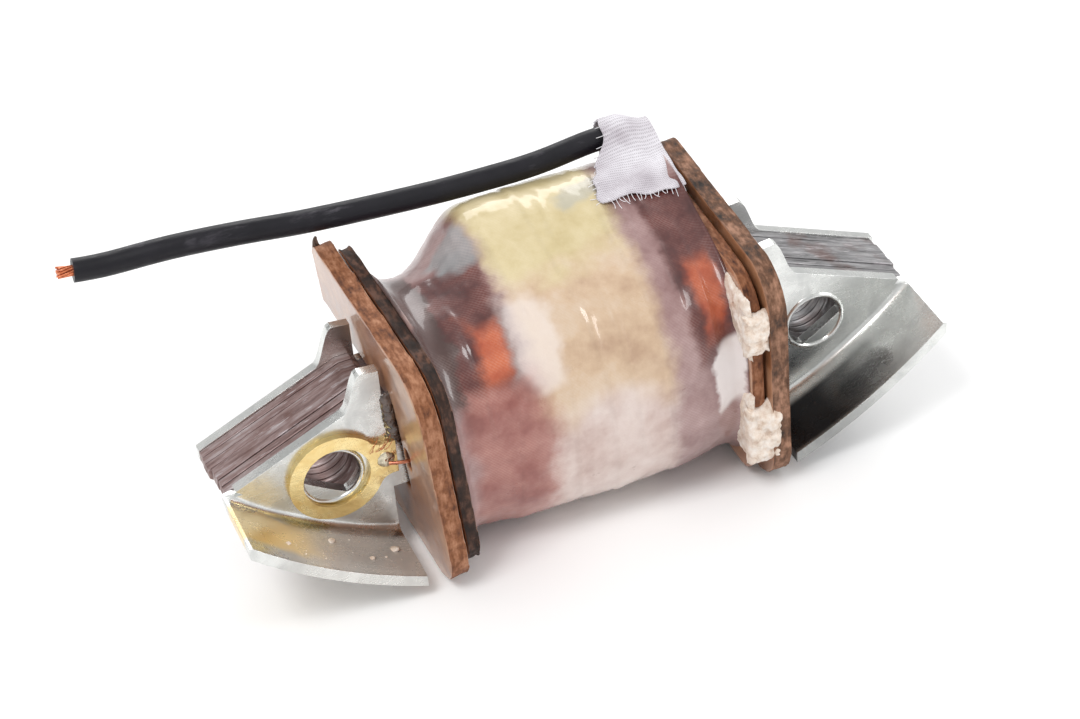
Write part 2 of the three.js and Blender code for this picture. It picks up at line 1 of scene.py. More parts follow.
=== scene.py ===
"""Looks of the stator ignition coil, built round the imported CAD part.

The frame is the part's own: X along the coil, -Y towards the earth tag, Z up.
"""

import math

import bmesh
import bpy
import numpy as np
from mathutils import Matrix, Vector, noise
from mathutils.bvhtree import BVHTree


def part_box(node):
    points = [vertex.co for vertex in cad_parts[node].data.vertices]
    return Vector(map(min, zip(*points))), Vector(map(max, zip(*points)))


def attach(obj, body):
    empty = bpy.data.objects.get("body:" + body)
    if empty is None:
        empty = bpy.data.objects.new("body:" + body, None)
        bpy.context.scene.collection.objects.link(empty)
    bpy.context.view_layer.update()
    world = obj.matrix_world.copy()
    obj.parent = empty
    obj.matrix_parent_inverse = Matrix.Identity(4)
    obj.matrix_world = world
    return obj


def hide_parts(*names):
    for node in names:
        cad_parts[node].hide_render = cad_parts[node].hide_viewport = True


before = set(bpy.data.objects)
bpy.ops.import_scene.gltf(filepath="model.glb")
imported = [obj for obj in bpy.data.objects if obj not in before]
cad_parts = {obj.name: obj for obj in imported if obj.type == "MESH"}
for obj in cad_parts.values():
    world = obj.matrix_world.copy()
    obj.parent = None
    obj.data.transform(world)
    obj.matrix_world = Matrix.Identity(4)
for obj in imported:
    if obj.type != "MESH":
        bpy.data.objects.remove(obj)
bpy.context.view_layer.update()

MM = 0.001  # the sizes below are in millimetres, and become metres where a mesh is made


# ---- Camera --------------------------------------------------------------------------------------

def add_camera():
    """A 100 mm lens above the left front of the coil, rolled a little."""
    target = Vector((-2.6, -1.6, 15.6)) * MM
    azimuth = math.radians(18.93)
    elevation = math.radians(38.64)
    roll = math.radians(-5.56)
    distance = 297 * MM
    ahead = Vector((
        math.sin(azimuth) * math.cos(elevation),
        math.cos(azimuth) * math.cos(elevation),
        -math.sin(elevation),
    ))
    right = ahead.cross(Vector((0, 0, 1))).normalized()
    right = Matrix.Rotation(-roll, 3, ahead) @ right
    up = right.cross(ahead)
    data = bpy.data.cameras.new("camera")
    data.lens = 100
    data.sensor_width = 36
    data.clip_start = 0.01
    data.clip_end = 10
    camera = bpy.data.objects.new("camera", data)
    turn = Matrix((right, up, -ahead)).transposed()
    camera.matrix_world = Matrix.Translation(target - ahead * distance) @ turn.to_4x4()
    bpy.context.collection.objects.link(camera)
    bpy.context.scene.camera = camera


add_camera()


# ---- Node trees ----------------------------------------------------------------------------------

class Look:
    """A Principled material and short calls that add its nodes."""

    def __init__(self, name, **values):
        self.material = bpy.data.materials.new(name)
        self.material.use_nodes = True
        self.tree = self.material.node_tree
        self.shader = self.tree.nodes["Principled BSDF"]
        for key, value in values.items():
            self.set(key, value)
        self.coords = None

    def set(self, socket, value):
        name = socket.replace("_", " ")
        target = self.shader.inputs[name]
        if isinstance(value, bpy.types.NodeSocket):
            self.tree.links.new(value, target)
        else:
            target.default_value = (*value, 1) if isinstance(value, tuple) and len(value) == 3 else value

    def node(self, kind, inputs=None, **settings):
        made = self.tree.nodes.new(kind)
        for key, value in settings.items():
            setattr(made, key, value)
        for key, value in (inputs or {}).items():
            target = made.inputs[key]
            if isinstance(value, bpy.types.NodeSocket):
                self.tree.links.new(value, target)
            else:
                target.default_value = (*value, 1) if isinstance(value, tuple) and len(value) == 3 else value
        return made

    def place(self):
        """Coordinates in the part's own frame, in metres."""
        if self.coords is None:
            self.coords = self.node("ShaderNodeTexCoord").outputs["Object"]
        return self.coords

    def uv(self, layer):
        return self.node("ShaderNodeUVMap", uv_map=layer).outputs["UV"]

    def stretched(self, scale, source=None, rotation=(0, 0, 0)):
        made = self.node(
            "ShaderNodeMapping",
            {"Vector": source or self.place(), "Rotation": Vector(rotation)},
        )
        made.inputs["Scale"].default_value = scale
        return made.outputs["Vector"]

    def noise(self, scale, detail=4, rough=0.55, source=None, stretch=None, distortion=0.0):
        vector = source or self.place()
        if stretch:
            vector = self.stretched(stretch, vector)
        made = self.node("ShaderNodeTexNoise", {
            "Vector": vector, "Scale": scale, "Detail": detail, "Roughness": rough, "Distortion": distortion,
        })
        return made.outputs["Fac"]

    def cells(self, scale, feature="F1", source=None, randomness=1.0):
        made = self.node(
            "ShaderNodeTexVoronoi",
            {"Vector": source or self.place(), "Scale": scale, "Randomness": randomness},
            feature=feature,
        )
        return made.outputs["Distance"]

    def ramp(self, factor, stops, blend="LINEAR"):
        """stops is [(place, colour or grey), ...]."""
        made = self.node("ShaderNodeValToRGB", {"Fac": factor})
        made.color_ramp.interpolation = blend
        elements = made.color_ramp.elements
        while len(elements) < len(stops):
            elements.new(0.5)
        for element, (at, colour) in zip(elements, stops):
            element.position = at
            shade = (colour,) * 3 if isinstance(colour, (int, float)) else colour
            element.color = (*shade, 1)
        return made.outputs["Color"]

    def mix(self, factor, a, b, mode="MIX"):
        made = self.node("ShaderNodeMix", data_type="RGBA", blend_type=mode, clamp_factor=True)
        for index, value in ((0, factor), (6, a), (7, b)):
            target = made.inputs[index]
            if isinstance(value, bpy.types.NodeSocket):
                self.tree.links.new(value, target)
            else:
                target.default_value = (*value, 1) if isinstance(value, tuple) else value
        return made.outputs[2]

    def math(self, operation, a, b=0.0, clamp=False):
        made = self.node("ShaderNodeMath", {0: a, 1: b}, operation=operation, use_clamp=clamp)
        return made.outputs[0]

    def split(self, vector=None):
        made = self.node("ShaderNodeSeparateXYZ", {"Vector": vector or self.place()})
        return made.outputs

    def within(self, value, low, high, soft):
        """1 between low and high, falling to 0 over soft outside."""
        rise = self.node("ShaderNodeMapRange", {
            "Value": value, "From Min": low - soft, "From Max": low, "To Min": 0.0, "To Max": 1.0,
        }, interpolation_type="SMOOTHSTEP").outputs[0]
        fall = self.node("ShaderNodeMapRange", {
            "Value": value, "From Min": high, "From Max": high + soft, "To Min": 1.0, "To Max": 0.0,
        }, interpolation_type="SMOOTHSTEP").outputs[0]
        return self.math("MULTIPLY", rise, fall)

    def bands(self, layer, degrees, pitch, distortion):
        """Threads across a UV layer that is in millimetres."""
        turned = self.node("ShaderNodeMapping", {
            "Vector": self.uv(layer), "Rotation": Vector((0, 0, math.radians(degrees))),
        }).outputs[0]
        wave = self.node("ShaderNodeTexWave", {
            "Vector": turned, "Scale": math.pi / 10 / pitch, "Distortion": distortion,
            "Detail": 2.0, "Detail Scale": 1.5,
        }, wave_type="BANDS", bands_direction="X")
        return wave.outputs["Fac"]

    def bump(self, height, depth, strength=1.0, base=None):
        """Bump of a height from 0 to 1, depth in metres."""
        inputs = {"Height": height, "Distance": depth, "Strength": strength}
        if base is not None:
            inputs["Normal"] = base
        return self.node("ShaderNodeBump", inputs).outputs["Normal"]


def dress(piece, look):
    piece.data.materials.clear()
    piece.data.materials.append(look.material)
    return piece


# ---- Places from the frame -----------------------------------------------------------------------

def box(node):
    """A node's lowest and highest corners, in millimetres."""
    low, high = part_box(node)
    return np.array(low) / MM, np.array(high) / MM


HOLE_SPACING = 52  # between the two screw holes, an estimate
cheek_low, cheek_high = box("right_cheek_outer")
coil_low, coil_high = box("outer_tape")
tag_low, tag_high = box("earth_tag")

CENTRE_Z = (cheek_low[2] + cheek_high[2]) / 2
HOLE_Z = (tag_low[2] + tag_high[2]) / 2
HOLE_X = HOLE_SPACING / 2
HOLE_RADIUS = 2.9
FRONT_Y = tag_high[1]
COIL_LEFT = coil_low[0]
COIL_RIGHT = coil_high[0]
COIL_HALF_WIDTH = -coil_low[1]
COIL_HALF_HEIGHT = CENTRE_Z - coil_low[2]
COIL_SQUARENESS = 2.6
COIL_END_SHARE = 0.93
PAD_HEIGHT = 4.4
PAD_ANGLE = 50
PAD_SPREAD = 36
PAD_START = COIL_LEFT + 0.7
PAD_RAMP = 8
LEAD_DIAMETER = 2.4
LEAD_ANGLE = 54
LAYER_CLEARANCE = 0.3


def smooth(t):
    k = np.clip(t, 0, 1)
    return k * k * (3 - 2 * k)


def turn_from(degrees, middle):
    return (degrees - middle + 180) % 360 - 180


def tape_radius(degrees, x):
    """Outside of the taped coil, at an angle from +Y towards +Z and a place along it."""
    angle = np.radians(degrees)
    c = np.abs(np.cos(angle)) / COIL_HALF_WIDTH
    s = np.abs(np.sin(angle)) / COIL_HALF_HEIGHT
    round_radius = (c ** COIL_SQUARENESS + s ** COIL_SQUARENESS) ** (-1 / COIL_SQUARENESS)
    t = np.clip(np.where(x < 0, x / COIL_LEFT, x / COIL_RIGHT), 0, 1)
    lobe = np.exp(-((turn_from(degrees, PAD_ANGLE) / PAD_SPREAD) ** 2))
    taper = 1 - (1 - COIL_END_SHARE) * t ** 3
    return taper * round_radius + PAD_HEIGHT * lobe * smooth((x - PAD_START) / PAD_RAMP)


def on_coil(degrees, x, radius):
    angle = np.radians(degrees)
    return np.stack([x + 0 * radius, radius * np.cos(angle), CENTRE_Z + radius * np.sin(angle)], axis=-1)


# ---- Mesh tools ----------------------------------------------------------------------------------

def make(name, points, faces, smooth_faces=True):
    mesh = bpy.data.meshes.new(name)
    mesh.from_pydata((np.asarray(points) * MM).tolist(), [], faces)
    mesh.validate()
    piece = bpy.data.objects.new(name, mesh)
    bpy.context.collection.objects.link(piece)
    if smooth_faces:
        mesh.shade_smooth()
    face_out(piece)
    return piece


def face_out(piece):
    mesh = bmesh.new()
    mesh.from_mesh(piece.data)
    bmesh.ops.recalc_face_normals(mesh, faces=mesh.faces)
    mesh.to_mesh(piece.data)
    mesh.free()


def grid_faces(rows, columns, close_rows=False, close_columns=False):
    faces = []
    for i in range(rows if close_rows else rows - 1):
        for j in range(columns if close_columns else columns - 1):
            k = (i + 1) % rows
            m = (j + 1) % columns
            faces.append((i * columns + j, i * columns + m, k * columns + m, k * columns + j))
    return faces


def add_uv(piece, name, values):
    """values are one (u, v) for each vertex."""
    layer = piece.data.uv_layers.new(name=name)
    index = np.empty(len(piece.data.loops), dtype=np.int32)
    piece.data.loops.foreach_get("vertex_index", index)
    layer.data.foreach_set("uv", np.asarray(values)[index].astype(np.float32).ravel())


def from_cad(node, name):
    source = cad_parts[node]
    mesh = source.data.copy()
    mesh.transform(source.matrix_world)
    mesh.materials.clear()
    piece = bpy.data.objects.new(name, mesh)
    bpy.context.collection.objects.link(piece)
    return piece


def stand_for(piece, slot_name, look, *nodes):
    """The piece rides on the coil, takes a finish and is shown instead of the nodes."""
    dress(piece, look)
    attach(piece, "root")
    if nodes:
        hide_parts(*nodes)
    return piece


def points_of(piece):
    flat = np.empty(len(piece.data.vertices) * 3)
    piece.data.vertices.foreach_get("co", flat)
    return flat.reshape(-1, 3) / MM


def move_points(piece, points):
    piece.data.vertices.foreach_set("co", (points * MM).ravel())
    piece.data.update()


def normals_of(piece):
    flat = np.empty(len(piece.data.vertices) * 3, dtype=np.float32)
    piece.data.vertex_normals.foreach_get("vector", flat)
    return flat.reshape(-1, 3).astype(float)


def ripple(points, size, octaves=3, seed=0.0):
    """Noise from about -1 to 1, with lumps of the given size."""
    shift = Vector((seed, seed * 0.7, -seed))
    return np.array([noise.fractal(Vector(p / size) + shift, 0.8, 2.1, octaves) for p in points])


def bevelled(node, name, width, sharp=25, segments=2):
    """The CAD solid with its flat faces whole and its edges rounded."""
    piece = from_cad(node, name)
    mesh = bmesh.new()
    mesh.from_mesh(piece.data)
    bmesh.ops.remove_doubles(mesh, verts=mesh.verts, dist=1e-6)
    bmesh.ops.dissolve_limit(
        mesh, angle_limit=math.radians(1), verts=mesh.verts[:], edges=mesh.edges[:]
    )
    edges = [e for e in mesh.edges if e.is_manifold and e.calc_face_angle(0) > math.radians(sharp)]
    bmesh.ops.bevel(
        mesh, geom=edges, offset=width * MM, segments=segments, profile=0.5,
        affect="EDGES", clamp_overlap=True,
    )
    bmesh.ops.triangulate(mesh, faces=[f for f in mesh.faces if len(f.verts) > 4])
    mesh.to_mesh(piece.data)
    mesh.free()
    piece.data.shade_smooth()
    weighted = piece.modifiers.new("weighted", "WEIGHTED_NORMAL")
    weighted.mode = "FACE_AREA"
    weighted.weight = 80
    return piece


def remeshed(piece, voxel):
    """The piece as an even mesh, with its modifiers applied."""
    step = piece.modifiers.new("remesh", "REMESH")
    step.mode = "VOXEL"
    step.voxel_size = voxel * MM
    bpy.context.view_layer.update()
    result = bpy.data.meshes.new_from_object(piece.evaluated_get(bpy.context.evaluated_depsgraph_get()))
    piece.modifiers.clear()
    old = piece.data
    piece.data = result
    bpy.data.meshes.remove(old)
    piece.data.shade_smooth()
    return piece


def relaxed(piece, steps, factor=0.5):
    mesh = bmesh.new()
    mesh.from_mesh(piece.data)
    for _ in range(steps):
        bmesh.ops.smooth_vert(
            mesh, verts=mesh.verts, factor=factor, use_axis_x=True, use_axis_y=True, use_axis_z=True
        )
    mesh.to_mesh(piece.data)
    mesh.free()
    return piece


def lathe(name, profile, centre, segments=96, closed=True):
    """A ring or dome about an axis along Y: profile is [(radius, rise towards -Y), ...]."""
    angles = np.linspace(0, 2 * np.pi, segments, endpoint=False)
    points = [
        (centre[0] + r * math.cos(a), centre[1] - h, centre[2] + r * math.sin(a))
        for r, h in profile
        for a in angles
    ]
    return make(name, points, grid_faces(len(profile), segments, close_rows=closed, close_columns=True))


def tubes(name, lines, radius, resolution=3):
    """Fine wires or threads along lists of points."""
    data = bpy.data.curves.new(name, "CURVE")
    data.dimensions = "3D"
    data.bevel_depth = radius * MM
    data.bevel_resolution = resolution
    data.use_fill_caps = True
    for line in lines:
        spline = data.splines.new("NURBS")
        spline.points.add(len(line) - 1)
        for point, place in zip(spline.points, line):
            point.co = (*(np.asarray(place) * MM), 1)
        spline.order_u = min(4, len(line))
        spline.use_endpoint_u = True
        spline.resolution_u = 6
    piece = bpy.data.objects.new(name, data)
    bpy.context.collection.objects.link(piece)
    return piece


# ---- Lead, the one free cord ---------------------------------------------------------------------

seat_radius = tape_radius(LEAD_ANGLE, 0.0) + LEAD_DIAMETER / 2 + LAYER_CLEARANCE
lead_seat = on_coil(LEAD_ANGLE, COIL_RIGHT, seat_radius)
lead_route = lead_seat + np.array([
    (-2.7, 0.07, 0.58),
    (-4.2, 0.07, 0.63),
    (-6.2, 0.02, 0.48),
    (-9.2, -0.03, 0.08),
    (-12.2, -0.03, -0.12),
    (-16.2, 0.07, -0.12),
    (-20.2, 0.27, -0.17),
    (-24.2, 0.57, -0.12),
    (-28.2, 0.87, -0.02),
    (-32.2, 1.17, 0.13),
    (-36.2, 1.47, 0.33),
    (-40.2, 1.77, 0.78),
    (-44.2, 2.07, 1.03),
    (-48.2, 2.37, 1.23),
    (-52.2, 2.67, 1.13),
    (-55.2, 2.87, 1.03),
    (-57.8, 3.07, 1.33),
])


def rubber_look():
    """Matt black sheath with pale dusty streaks and scuffs, which grow stronger where it faces up."""
    look = Look("lead_black", Roughness=0.5, Specular_IOR_Level=0.3)
    streaks = look.noise(900, 5, 0.65, stretch=(0.25, 1, 1))
    dust = look.ramp(streaks, [(0.5, 0.0), (0.68, 1.0)])
    patches = look.ramp(look.noise(260, 3, 0.5), [(0.52, 0.0), (0.68, 1.0)])
    upward = look.split(look.node("ShaderNodeNewGeometry").outputs["Normal"])[2]
    top = look.ramp(upward, [(0.1, 0.0), (0.9, 1.0)])
    scuffed = look.math("MULTIPLY", look.math("MULTIPLY", dust, patches), look.math("ADD", top, 0.25))
    black = look.mix(look.noise(300, 3), (0.004, 0.004, 0.006), (0.012, 0.011, 0.016))
    look.set("Base Color", look.mix(look.math("MULTIPLY", scuffed, 0.6), black, (0.13, 0.12, 0.14)))
    look.set("Roughness", look.ramp(look.noise(500, 4), [(0.3, 0.3), (0.75, 0.55)]))
    fine = look.noise(2600, 4, 0.6, stretch=(0.3, 1, 1))
    look.set("Normal", look.bump(look.math("ADD", fine, scuffed), 0.00005, 0.8))
    return look


def bare_copper_look():
    look = Look("bare_copper", Metallic=1.0)
    tone = look.noise(2500, 3)
    look.set("Base Color", look.ramp(tone, [(0.3, (0.55, 0.13, 0.05)), (0.7, (0.86, 0.36, 0.2))]))
    look.set("Roughness", look.ramp(tone, [(0.3, 0.5), (0.7, 0.28)]))
    look.set("Normal", look.bump(look.noise(6000, 2), 0.00002))
    return look


def lead_strands():
    """Nineteen twisted strands that fan out a little where the lead was cut."""
    end = lead_route[-1]
    along = end - lead_route[-2]
    along = along / np.linalg.norm(along)
    side = np.cross(along, (0, 0, 1))
    side = side / np.linalg.norm(side)
    up = np.cross(side, along)
    reach = end[0] - box("lead_conductor")[0][0]
    rng = np.random.default_rng(4)
    lines = []
    for i in range(19):
        ring = 0 if i == 0 else (0.22 if i < 7 else 0.44)
        start_angle = i * 2 * math.pi / (6 if i < 7 else 12)
        stop = reach * rng.uniform(0.62, 0.97)
        line = []
        for t in np.linspace(-3, stop, 9):
            angle = start_angle + t * 0.5
            spread = ring * (1 + 0.16 * max(0, t))
            wobble = rng.normal(0, 0.015, 3)
            line.append(end + along * t + spread * (side * math.cos(angle) + up * math.sin(angle)) + wobble)
        lines.append(line)
    return tubes("lead_strands", lines, 0.11)


def add_lead():
    data = bpy.data.curves.new("lead", "CURVE")
    data.dimensions = "3D"
    data.bevel_depth = LEAD_DIAMETER / 2 * MM
    data.bevel_resolution = 8
    data.use_fill_caps = True
    data.resolution_u = 8
    spline = data.splines.new("NURBS")
    spline.points.add(len(lead_route) - 1)
    for point, place in zip(spline.points, lead_route):
        point.co = (*(place * MM), 1)
    spline.order_u = 4
    spline.use_endpoint_u = True
    lead = bpy.data.objects.new("lead", data)
    bpy.context.collection.objects.link(lead)
    stand_for(lead, "lead_rubber", rubber_look(), "lead_insulation")
    strands = stand_for(lead_strands(), "bare_copper", bare_copper_look(), "lead_conductor")
    return lead


lead = add_lead()


# ---- Studio --------------------------------------------------------------------------------------

def add_studio():
    floor_size = 3.0
    mesh = bpy.data.meshes.new("floor")
    half = floor_size / 2
    corners = [(-half, -half, 0), (half, -half, 0), (half, half, 0), (-half, half, 0)]
    mesh.from_pydata(corners, [], [(0, 1, 2, 3)])
    floor = bpy.data.objects.new("floor", mesh)
    bpy.context.collection.objects.link(floor)
    look = Look("floor_white", Base_Color=(0.93, 0.93, 0.93), Roughness=0.7)
    mesh.materials.append(look.material)

    world = bpy.data.worlds.new("studio")
    world.use_nodes = True
    world.node_tree.nodes["Background"].inputs["Color"].default_value = (1, 1, 1, 1)
    world.node_tree.nodes["Background"].inputs["Strength"].default_value = 0.75
    bpy.context.scene.world = world
    bpy.context.scene.view_settings.view_transform = "Standard"

    def softbox(name, place, aim, size, watts):
        data = bpy.data.lights.new(name, "AREA")
        data.shape = "RECTANGLE"
        data.size, data.size_y = size
        data.energy = watts
        lamp = bpy.data.objects.new(name, data)
        lamp.location = place
        lamp.rotation_euler = (Vector(aim) - Vector(place)).to_track_quat("-Z", "Y").to_euler()
        bpy.context.collection.objects.link(lamp)

    middle = (0, 0, 0.012)
    softbox("key", (-0.25, -0.15, 0.5), middle, (0.2, 0.2), 1.3)
    softbox("back", (0.15, 0.5, 0.35), middle, (0.5, 0.2), 1.2)
    softbox("right", (0.45, -0.2, 0.25), middle, (0.15, 0.3), 0.9)


add_studio()


# ---- Zinc-plated cover plates --------------------------------------------------------------------

def zinc_look(name):
    """Bright zinc with handling scratches, dull clouds and fine pits."""
    look = Look(name, Metallic=1.0)
    clouds = look.noise(260, 5, 0.6, distortion=0.4)
    scratches = look.noise(2600, 3, 0.6, stretch=(0.12, 1, 0.7), distortion=0.6)
    scratch = look.ramp(scratches, [(0.48, 0.0), (0.5, 1.0), (0.52, 0.0)])
    base = look.ramp(clouds, [
        (0.3, (0.56, 0.57, 0.56)), (0.55, (0.74, 0.75, 0.73)), (0.75, (0.87, 0.88, 0.86)),
    ])
    base = look.mix(look.math("MULTIPLY", scratch, 0.18), base, (0.95, 0.95, 0.94))
    pits = look.ramp(look.cells(1500), [(0.08, 0.0), (0.2, 1.0)])
    rough = look.ramp(clouds, [(0.3, 0.34), (0.7, 0.2)])
    look.set("Roughness", look.mix(look.math("MULTIPLY", scratch, 0.3), rough, (0.42, 0.42, 0.42)))
    relief = look.bump(pits, 0.000008, 0.4)
    relief = look.bump(look.noise(300, 2, 0.5), 0.00008, 0.45, relief)
    look.set("Normal", look.bump(scratch, 0.000004, 0.4, relief))
    return look, base


def shoe_plate_look():
    """Zinc with a painted brown reflection of the left cheek and an amber patch in the left shoe's lip, and
    painted near-black shade in the right lip beside the cheek.
    """
    look, base = zinc_look("zinc_shoe_plate")
    x, y = look.split()[:2]
    wobble = look.math("MULTIPLY", look.math("SUBTRACT", look.noise(150, 2), 0.5), 0.004)
    x_soft = look.math("ADD", x, wobble)
    in_lip = look.within(y, -0.0119, -0.0068, 0.0012)
    left = look.within(x_soft, -0.0315, -0.017, 0.005)
    # Painted reflection: the left lip is tinted brown and made less metallic where it would mirror the left
    # cheek.
    brown = look.math("MULTIPLY", look.math("MULTIPLY", in_lip, left), 0.5)
    base = look.mix(brown, base, (0.5, 0.44, 0.38))
    look.set("Metallic", look.ramp(brown, [(0.0, 1.0), (0.5, 0.4)]))
    tip = look.within(x_soft, -0.038, -0.0325, 0.004)
    bend = look.within(look.math("ADD", y, wobble), -0.0105, -0.0062, 0.001)
    amber = look.math("MULTIPLY", tip, bend)
    base = look.mix(look.math("MULTIPLY", amber, 0.8), base, (0.9, 0.68, 0.33))
    # Painted shade: the right lip beside the cheek is turned near black, standing for the shade and dark
    # reflection there.
    right = look.within(x_soft, 0.015, 0.0245, 0.0105)
    black = look.math("MULTIPLY", look.math("MULTIPLY", in_lip, right), 0.96)
    base = look.mix(black, base, (0.015, 0.017, 0.022))
    look.set("Base Color", base)
    return look


def back_plate_look():
    look, base = zinc_look("zinc_back_plate")
    look.set("Base Color", base)
    return look


def hole_lips():
    """The burr that the punch raised round both holes of the front plate."""
    inner = HOLE_RADIUS
    profile = [
        (inner - 0.05, -0.5), (inner - 0.05, 0.0), (inner + 0.02, 0.16), (inner + 0.14, 0.25),
        (inner + 0.3, 0.22), (inner + 0.42, 0.08), (inner + 0.5, -0.05), (inner + 0.4, -0.5),
    ]
    for side, name in ((-1, "left_hole_lip"), (1, "right_hole_lip")):
        lip = lathe(name, profile, (side * HOLE_X, FRONT_Y, HOLE_Z))
        points = points_of(lip)
        points[:, 1] -= 0.06 * ripple(points, 1.3, 2, side)
        move_points(lip, points)
        stand_for(lip, "zinc_plate", back_look)


back_look = back_plate_look()
front_plate = bevelled("pole_shoe_plate", "front_plate", 0.16)
stand_for(front_plate, "zinc_plate", shoe_plate_look(), "pole_shoe_plate")
stand_for(bevelled("back_plate", "rear_plate", 0.16), "zinc_plate", back_look, "back_plate")
hole_lips()


# ---- Laminations ---------------------------------------------------------------------------------

def steel_look():
    """Oxidised punched edges: reddish brown on the left, greyer on the right, streaked along the sheet, with
    painted glints.
    """
    look = Look("lamination_steel", Metallic=0.75)
    x = look.split()[0]
    streaks = look.noise(1500, 5, 0.7, stretch=(0.08, 1, 0.25))
    # Painted highlights: narrow bright streaks mixed into the colour.
    painted_glints = look.ramp(look.noise(2600, 4, 0.7, stretch=(0.06, 1, 0.3)), [(0.58, 0.0), (0.66, 1.0)])
    patches = look.noise(330, 3, 0.5)
    rust = look.ramp(streaks, [
        (0.28, (0.1, 0.055, 0.05)), (0.5, (0.3, 0.21, 0.2)), (0.72, (0.52, 0.45, 0.45)),
    ])
    grey = look.ramp(streaks, [
        (0.28, (0.08, 0.08, 0.082)), (0.5, (0.27, 0.265, 0.27)), (0.72, (0.5, 0.49, 0.5)),
    ])
    side = look.ramp(look.math("ADD", look.math("MULTIPLY", x, 12.0), 0.5), [(0.35, 0.0), (0.65, 1.0)])
    tone = look.mix(side, rust, grey)
    tone = look.mix(look.ramp(patches, [(0.5, 0.0), (0.7, 0.6)]), tone, (0.16, 0.08, 0.065))
    look.set("Base Color", look.mix(look.math("MULTIPLY", painted_glints, 0.55), tone, (0.72, 0.68, 0.7)))
    look.set("Roughness", look.ramp(streaks, [(0.3, 0.6), (0.7, 0.33)]))
    look.set("Normal", look.bump(streaks, 0.00006, 0.9))
    return look


def add_laminations():
    look = steel_look()
    rng = np.random.default_rng(11)
    count = len([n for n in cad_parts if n.startswith("lamination_")])
    for i in range(1, count + 1):
        node = f"lamination_{i}"
        piece = bevelled(node, f"core_sheet_{i}", 0.13)
        points = points_of(piece)
        short = rng.uniform(0, 0.55, 2)
        drop = rng.uniform(0, 0.3)
        out = smooth((np.abs(points[:, 0]) - 30) / 7)
        points[:, 0] -= np.sign(points[:, 0]) * out * np.where(points[:, 0] < 0, *short)
        top = smooth((points[:, 2] - HOLE_Z) / 2) * smooth((np.abs(points[:, 0]) - 19) / 2)
        points[:, 2] -= top * drop
        middle = points[:, 1].mean()
        points[:, 1] = middle + (points[:, 1] - middle) * 0.96
        move_points(piece, points)
        stand_for(piece, "lamination_steel", look, node)


add_laminations()


# ---- Fibre cheeks --------------------------------------------------------------------------------

def fibre_look(name, face_tones, rim_tones, gloss):
    """Vulcanised fibre: mottled faces under uneven varnish, and mottled matt rims."""
    look = Look(name, Coat_Roughness=0.16, Coat_IOR=1.5, Specular_IOR_Level=0.35)
    across = look.math("ABSOLUTE", look.split(look.node("ShaderNodeNewGeometry").outputs["Normal"])[0])
    rim = look.ramp(across, [(0.45, 1.0), (0.75, 0.0)])
    cloud = look.noise(210, 5, 0.62, distortion=0.5)
    face = look.ramp(cloud, [(0.3, face_tones[0]), (0.52, face_tones[1]), (0.74, face_tones[2])])
    layers = look.noise(1500, 3, 0.6, stretch=(1.5, 0.5, 0.5))
    blotches = look.noise(420, 4, 0.65)
    mottled = look.math("ADD", look.math("MULTIPLY", layers, 0.45), look.math("MULTIPLY", blotches, 0.55))
    edge = look.ramp(mottled, [(0.36, rim_tones[0]), (0.5, rim_tones[1]), (0.64, rim_tones[2])])
    look.set("Base Color", look.mix(rim, face, edge))
    look.set("Roughness", look.mix(rim, look.ramp(cloud, [(0.3, 0.3), (0.7, 0.48)]), (0.68, 0.68, 0.68)))
    look.set("Coat Weight", look.math("MULTIPLY", look.math("SUBTRACT", 1.0, rim), gloss))
    look.set("Normal", look.bump(look.noise(2400, 4, 0.7), 0.00004, 0.6))
    return look


def cheek(node, name, look, roughness, seed):
    piece = remeshed(from_cad(node, name), 0.21)
    relaxed(piece, 3)
    points = points_of(piece)
    rim = 1 - smooth((np.abs(normals_of(piece)[:, 0]) - 0.3) / 0.5)
    push = roughness * rim * (ripple(points, 1.9, 4, seed) - 0.9)
    push += 0.04 * ripple(points, 3.2, 2, seed + 3) - 0.03
    move_points(piece, points + normals_of(piece) * push[:, None])
    return stand_for(piece, "varnished_fibre", look, node)


def add_cheeks():
    tan = fibre_look(
        "fibre_tan",
        ((0.22, 0.08, 0.035), (0.4, 0.19, 0.1), (0.56, 0.34, 0.22)),
        ((0.05, 0.014, 0.006), (0.22, 0.08, 0.032), (0.42, 0.2, 0.11)),
        0.9,
    )
    crust = fibre_look(
        "fibre_crust",
        ((0.06, 0.022, 0.012), (0.18, 0.07, 0.03), (0.32, 0.14, 0.07)),
        ((0.008, 0.005, 0.004), (0.035, 0.016, 0.01), (0.13, 0.06, 0.038)),
        0.8,
    )
    burnt = fibre_look(
        "fibre_burnt",
        ((0.14, 0.05, 0.02), (0.3, 0.13, 0.06), (0.42, 0.22, 0.13)),
        ((0.02, 0.014, 0.011), (0.14, 0.065, 0.035), (0.36, 0.19, 0.12)),
        0.6,
    )
    cheek("left_cheek_outer", "left_cheek_board", tan, 0.09, 1.0)
    cheek("left_cheek_inner", "left_cheek_liner", crust, 0.2, 2.0)
    cheek("right_cheek_outer", "right_cheek_board", burnt, 0.16, 3.0)
    cheek("right_cheek_inner", "right_cheek_liner", tan, 0.14, 4.0)


add_cheeks()


# ---- Taped coil ----------------------------------------------------------------------------------

def inner_plane(node, side):
    """Normal and offset of a cheek layer's face towards the coil."""
    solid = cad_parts[node]
    points = np.array([solid.matrix_world @ v.co for v in solid.data.vertices]) / MM
    middle = points.mean(axis=0)
    normal = np.linalg.svd(points - middle)[2][2]
    normal = normal * np.sign(normal[0]) * -side
    return normal, ((points - middle) @ normal).max() + middle @ normal


def plane_x(plane, y, z):
    normal, offset = plane
    return (offset - normal[1] * y - normal[2] * z) / normal[0]


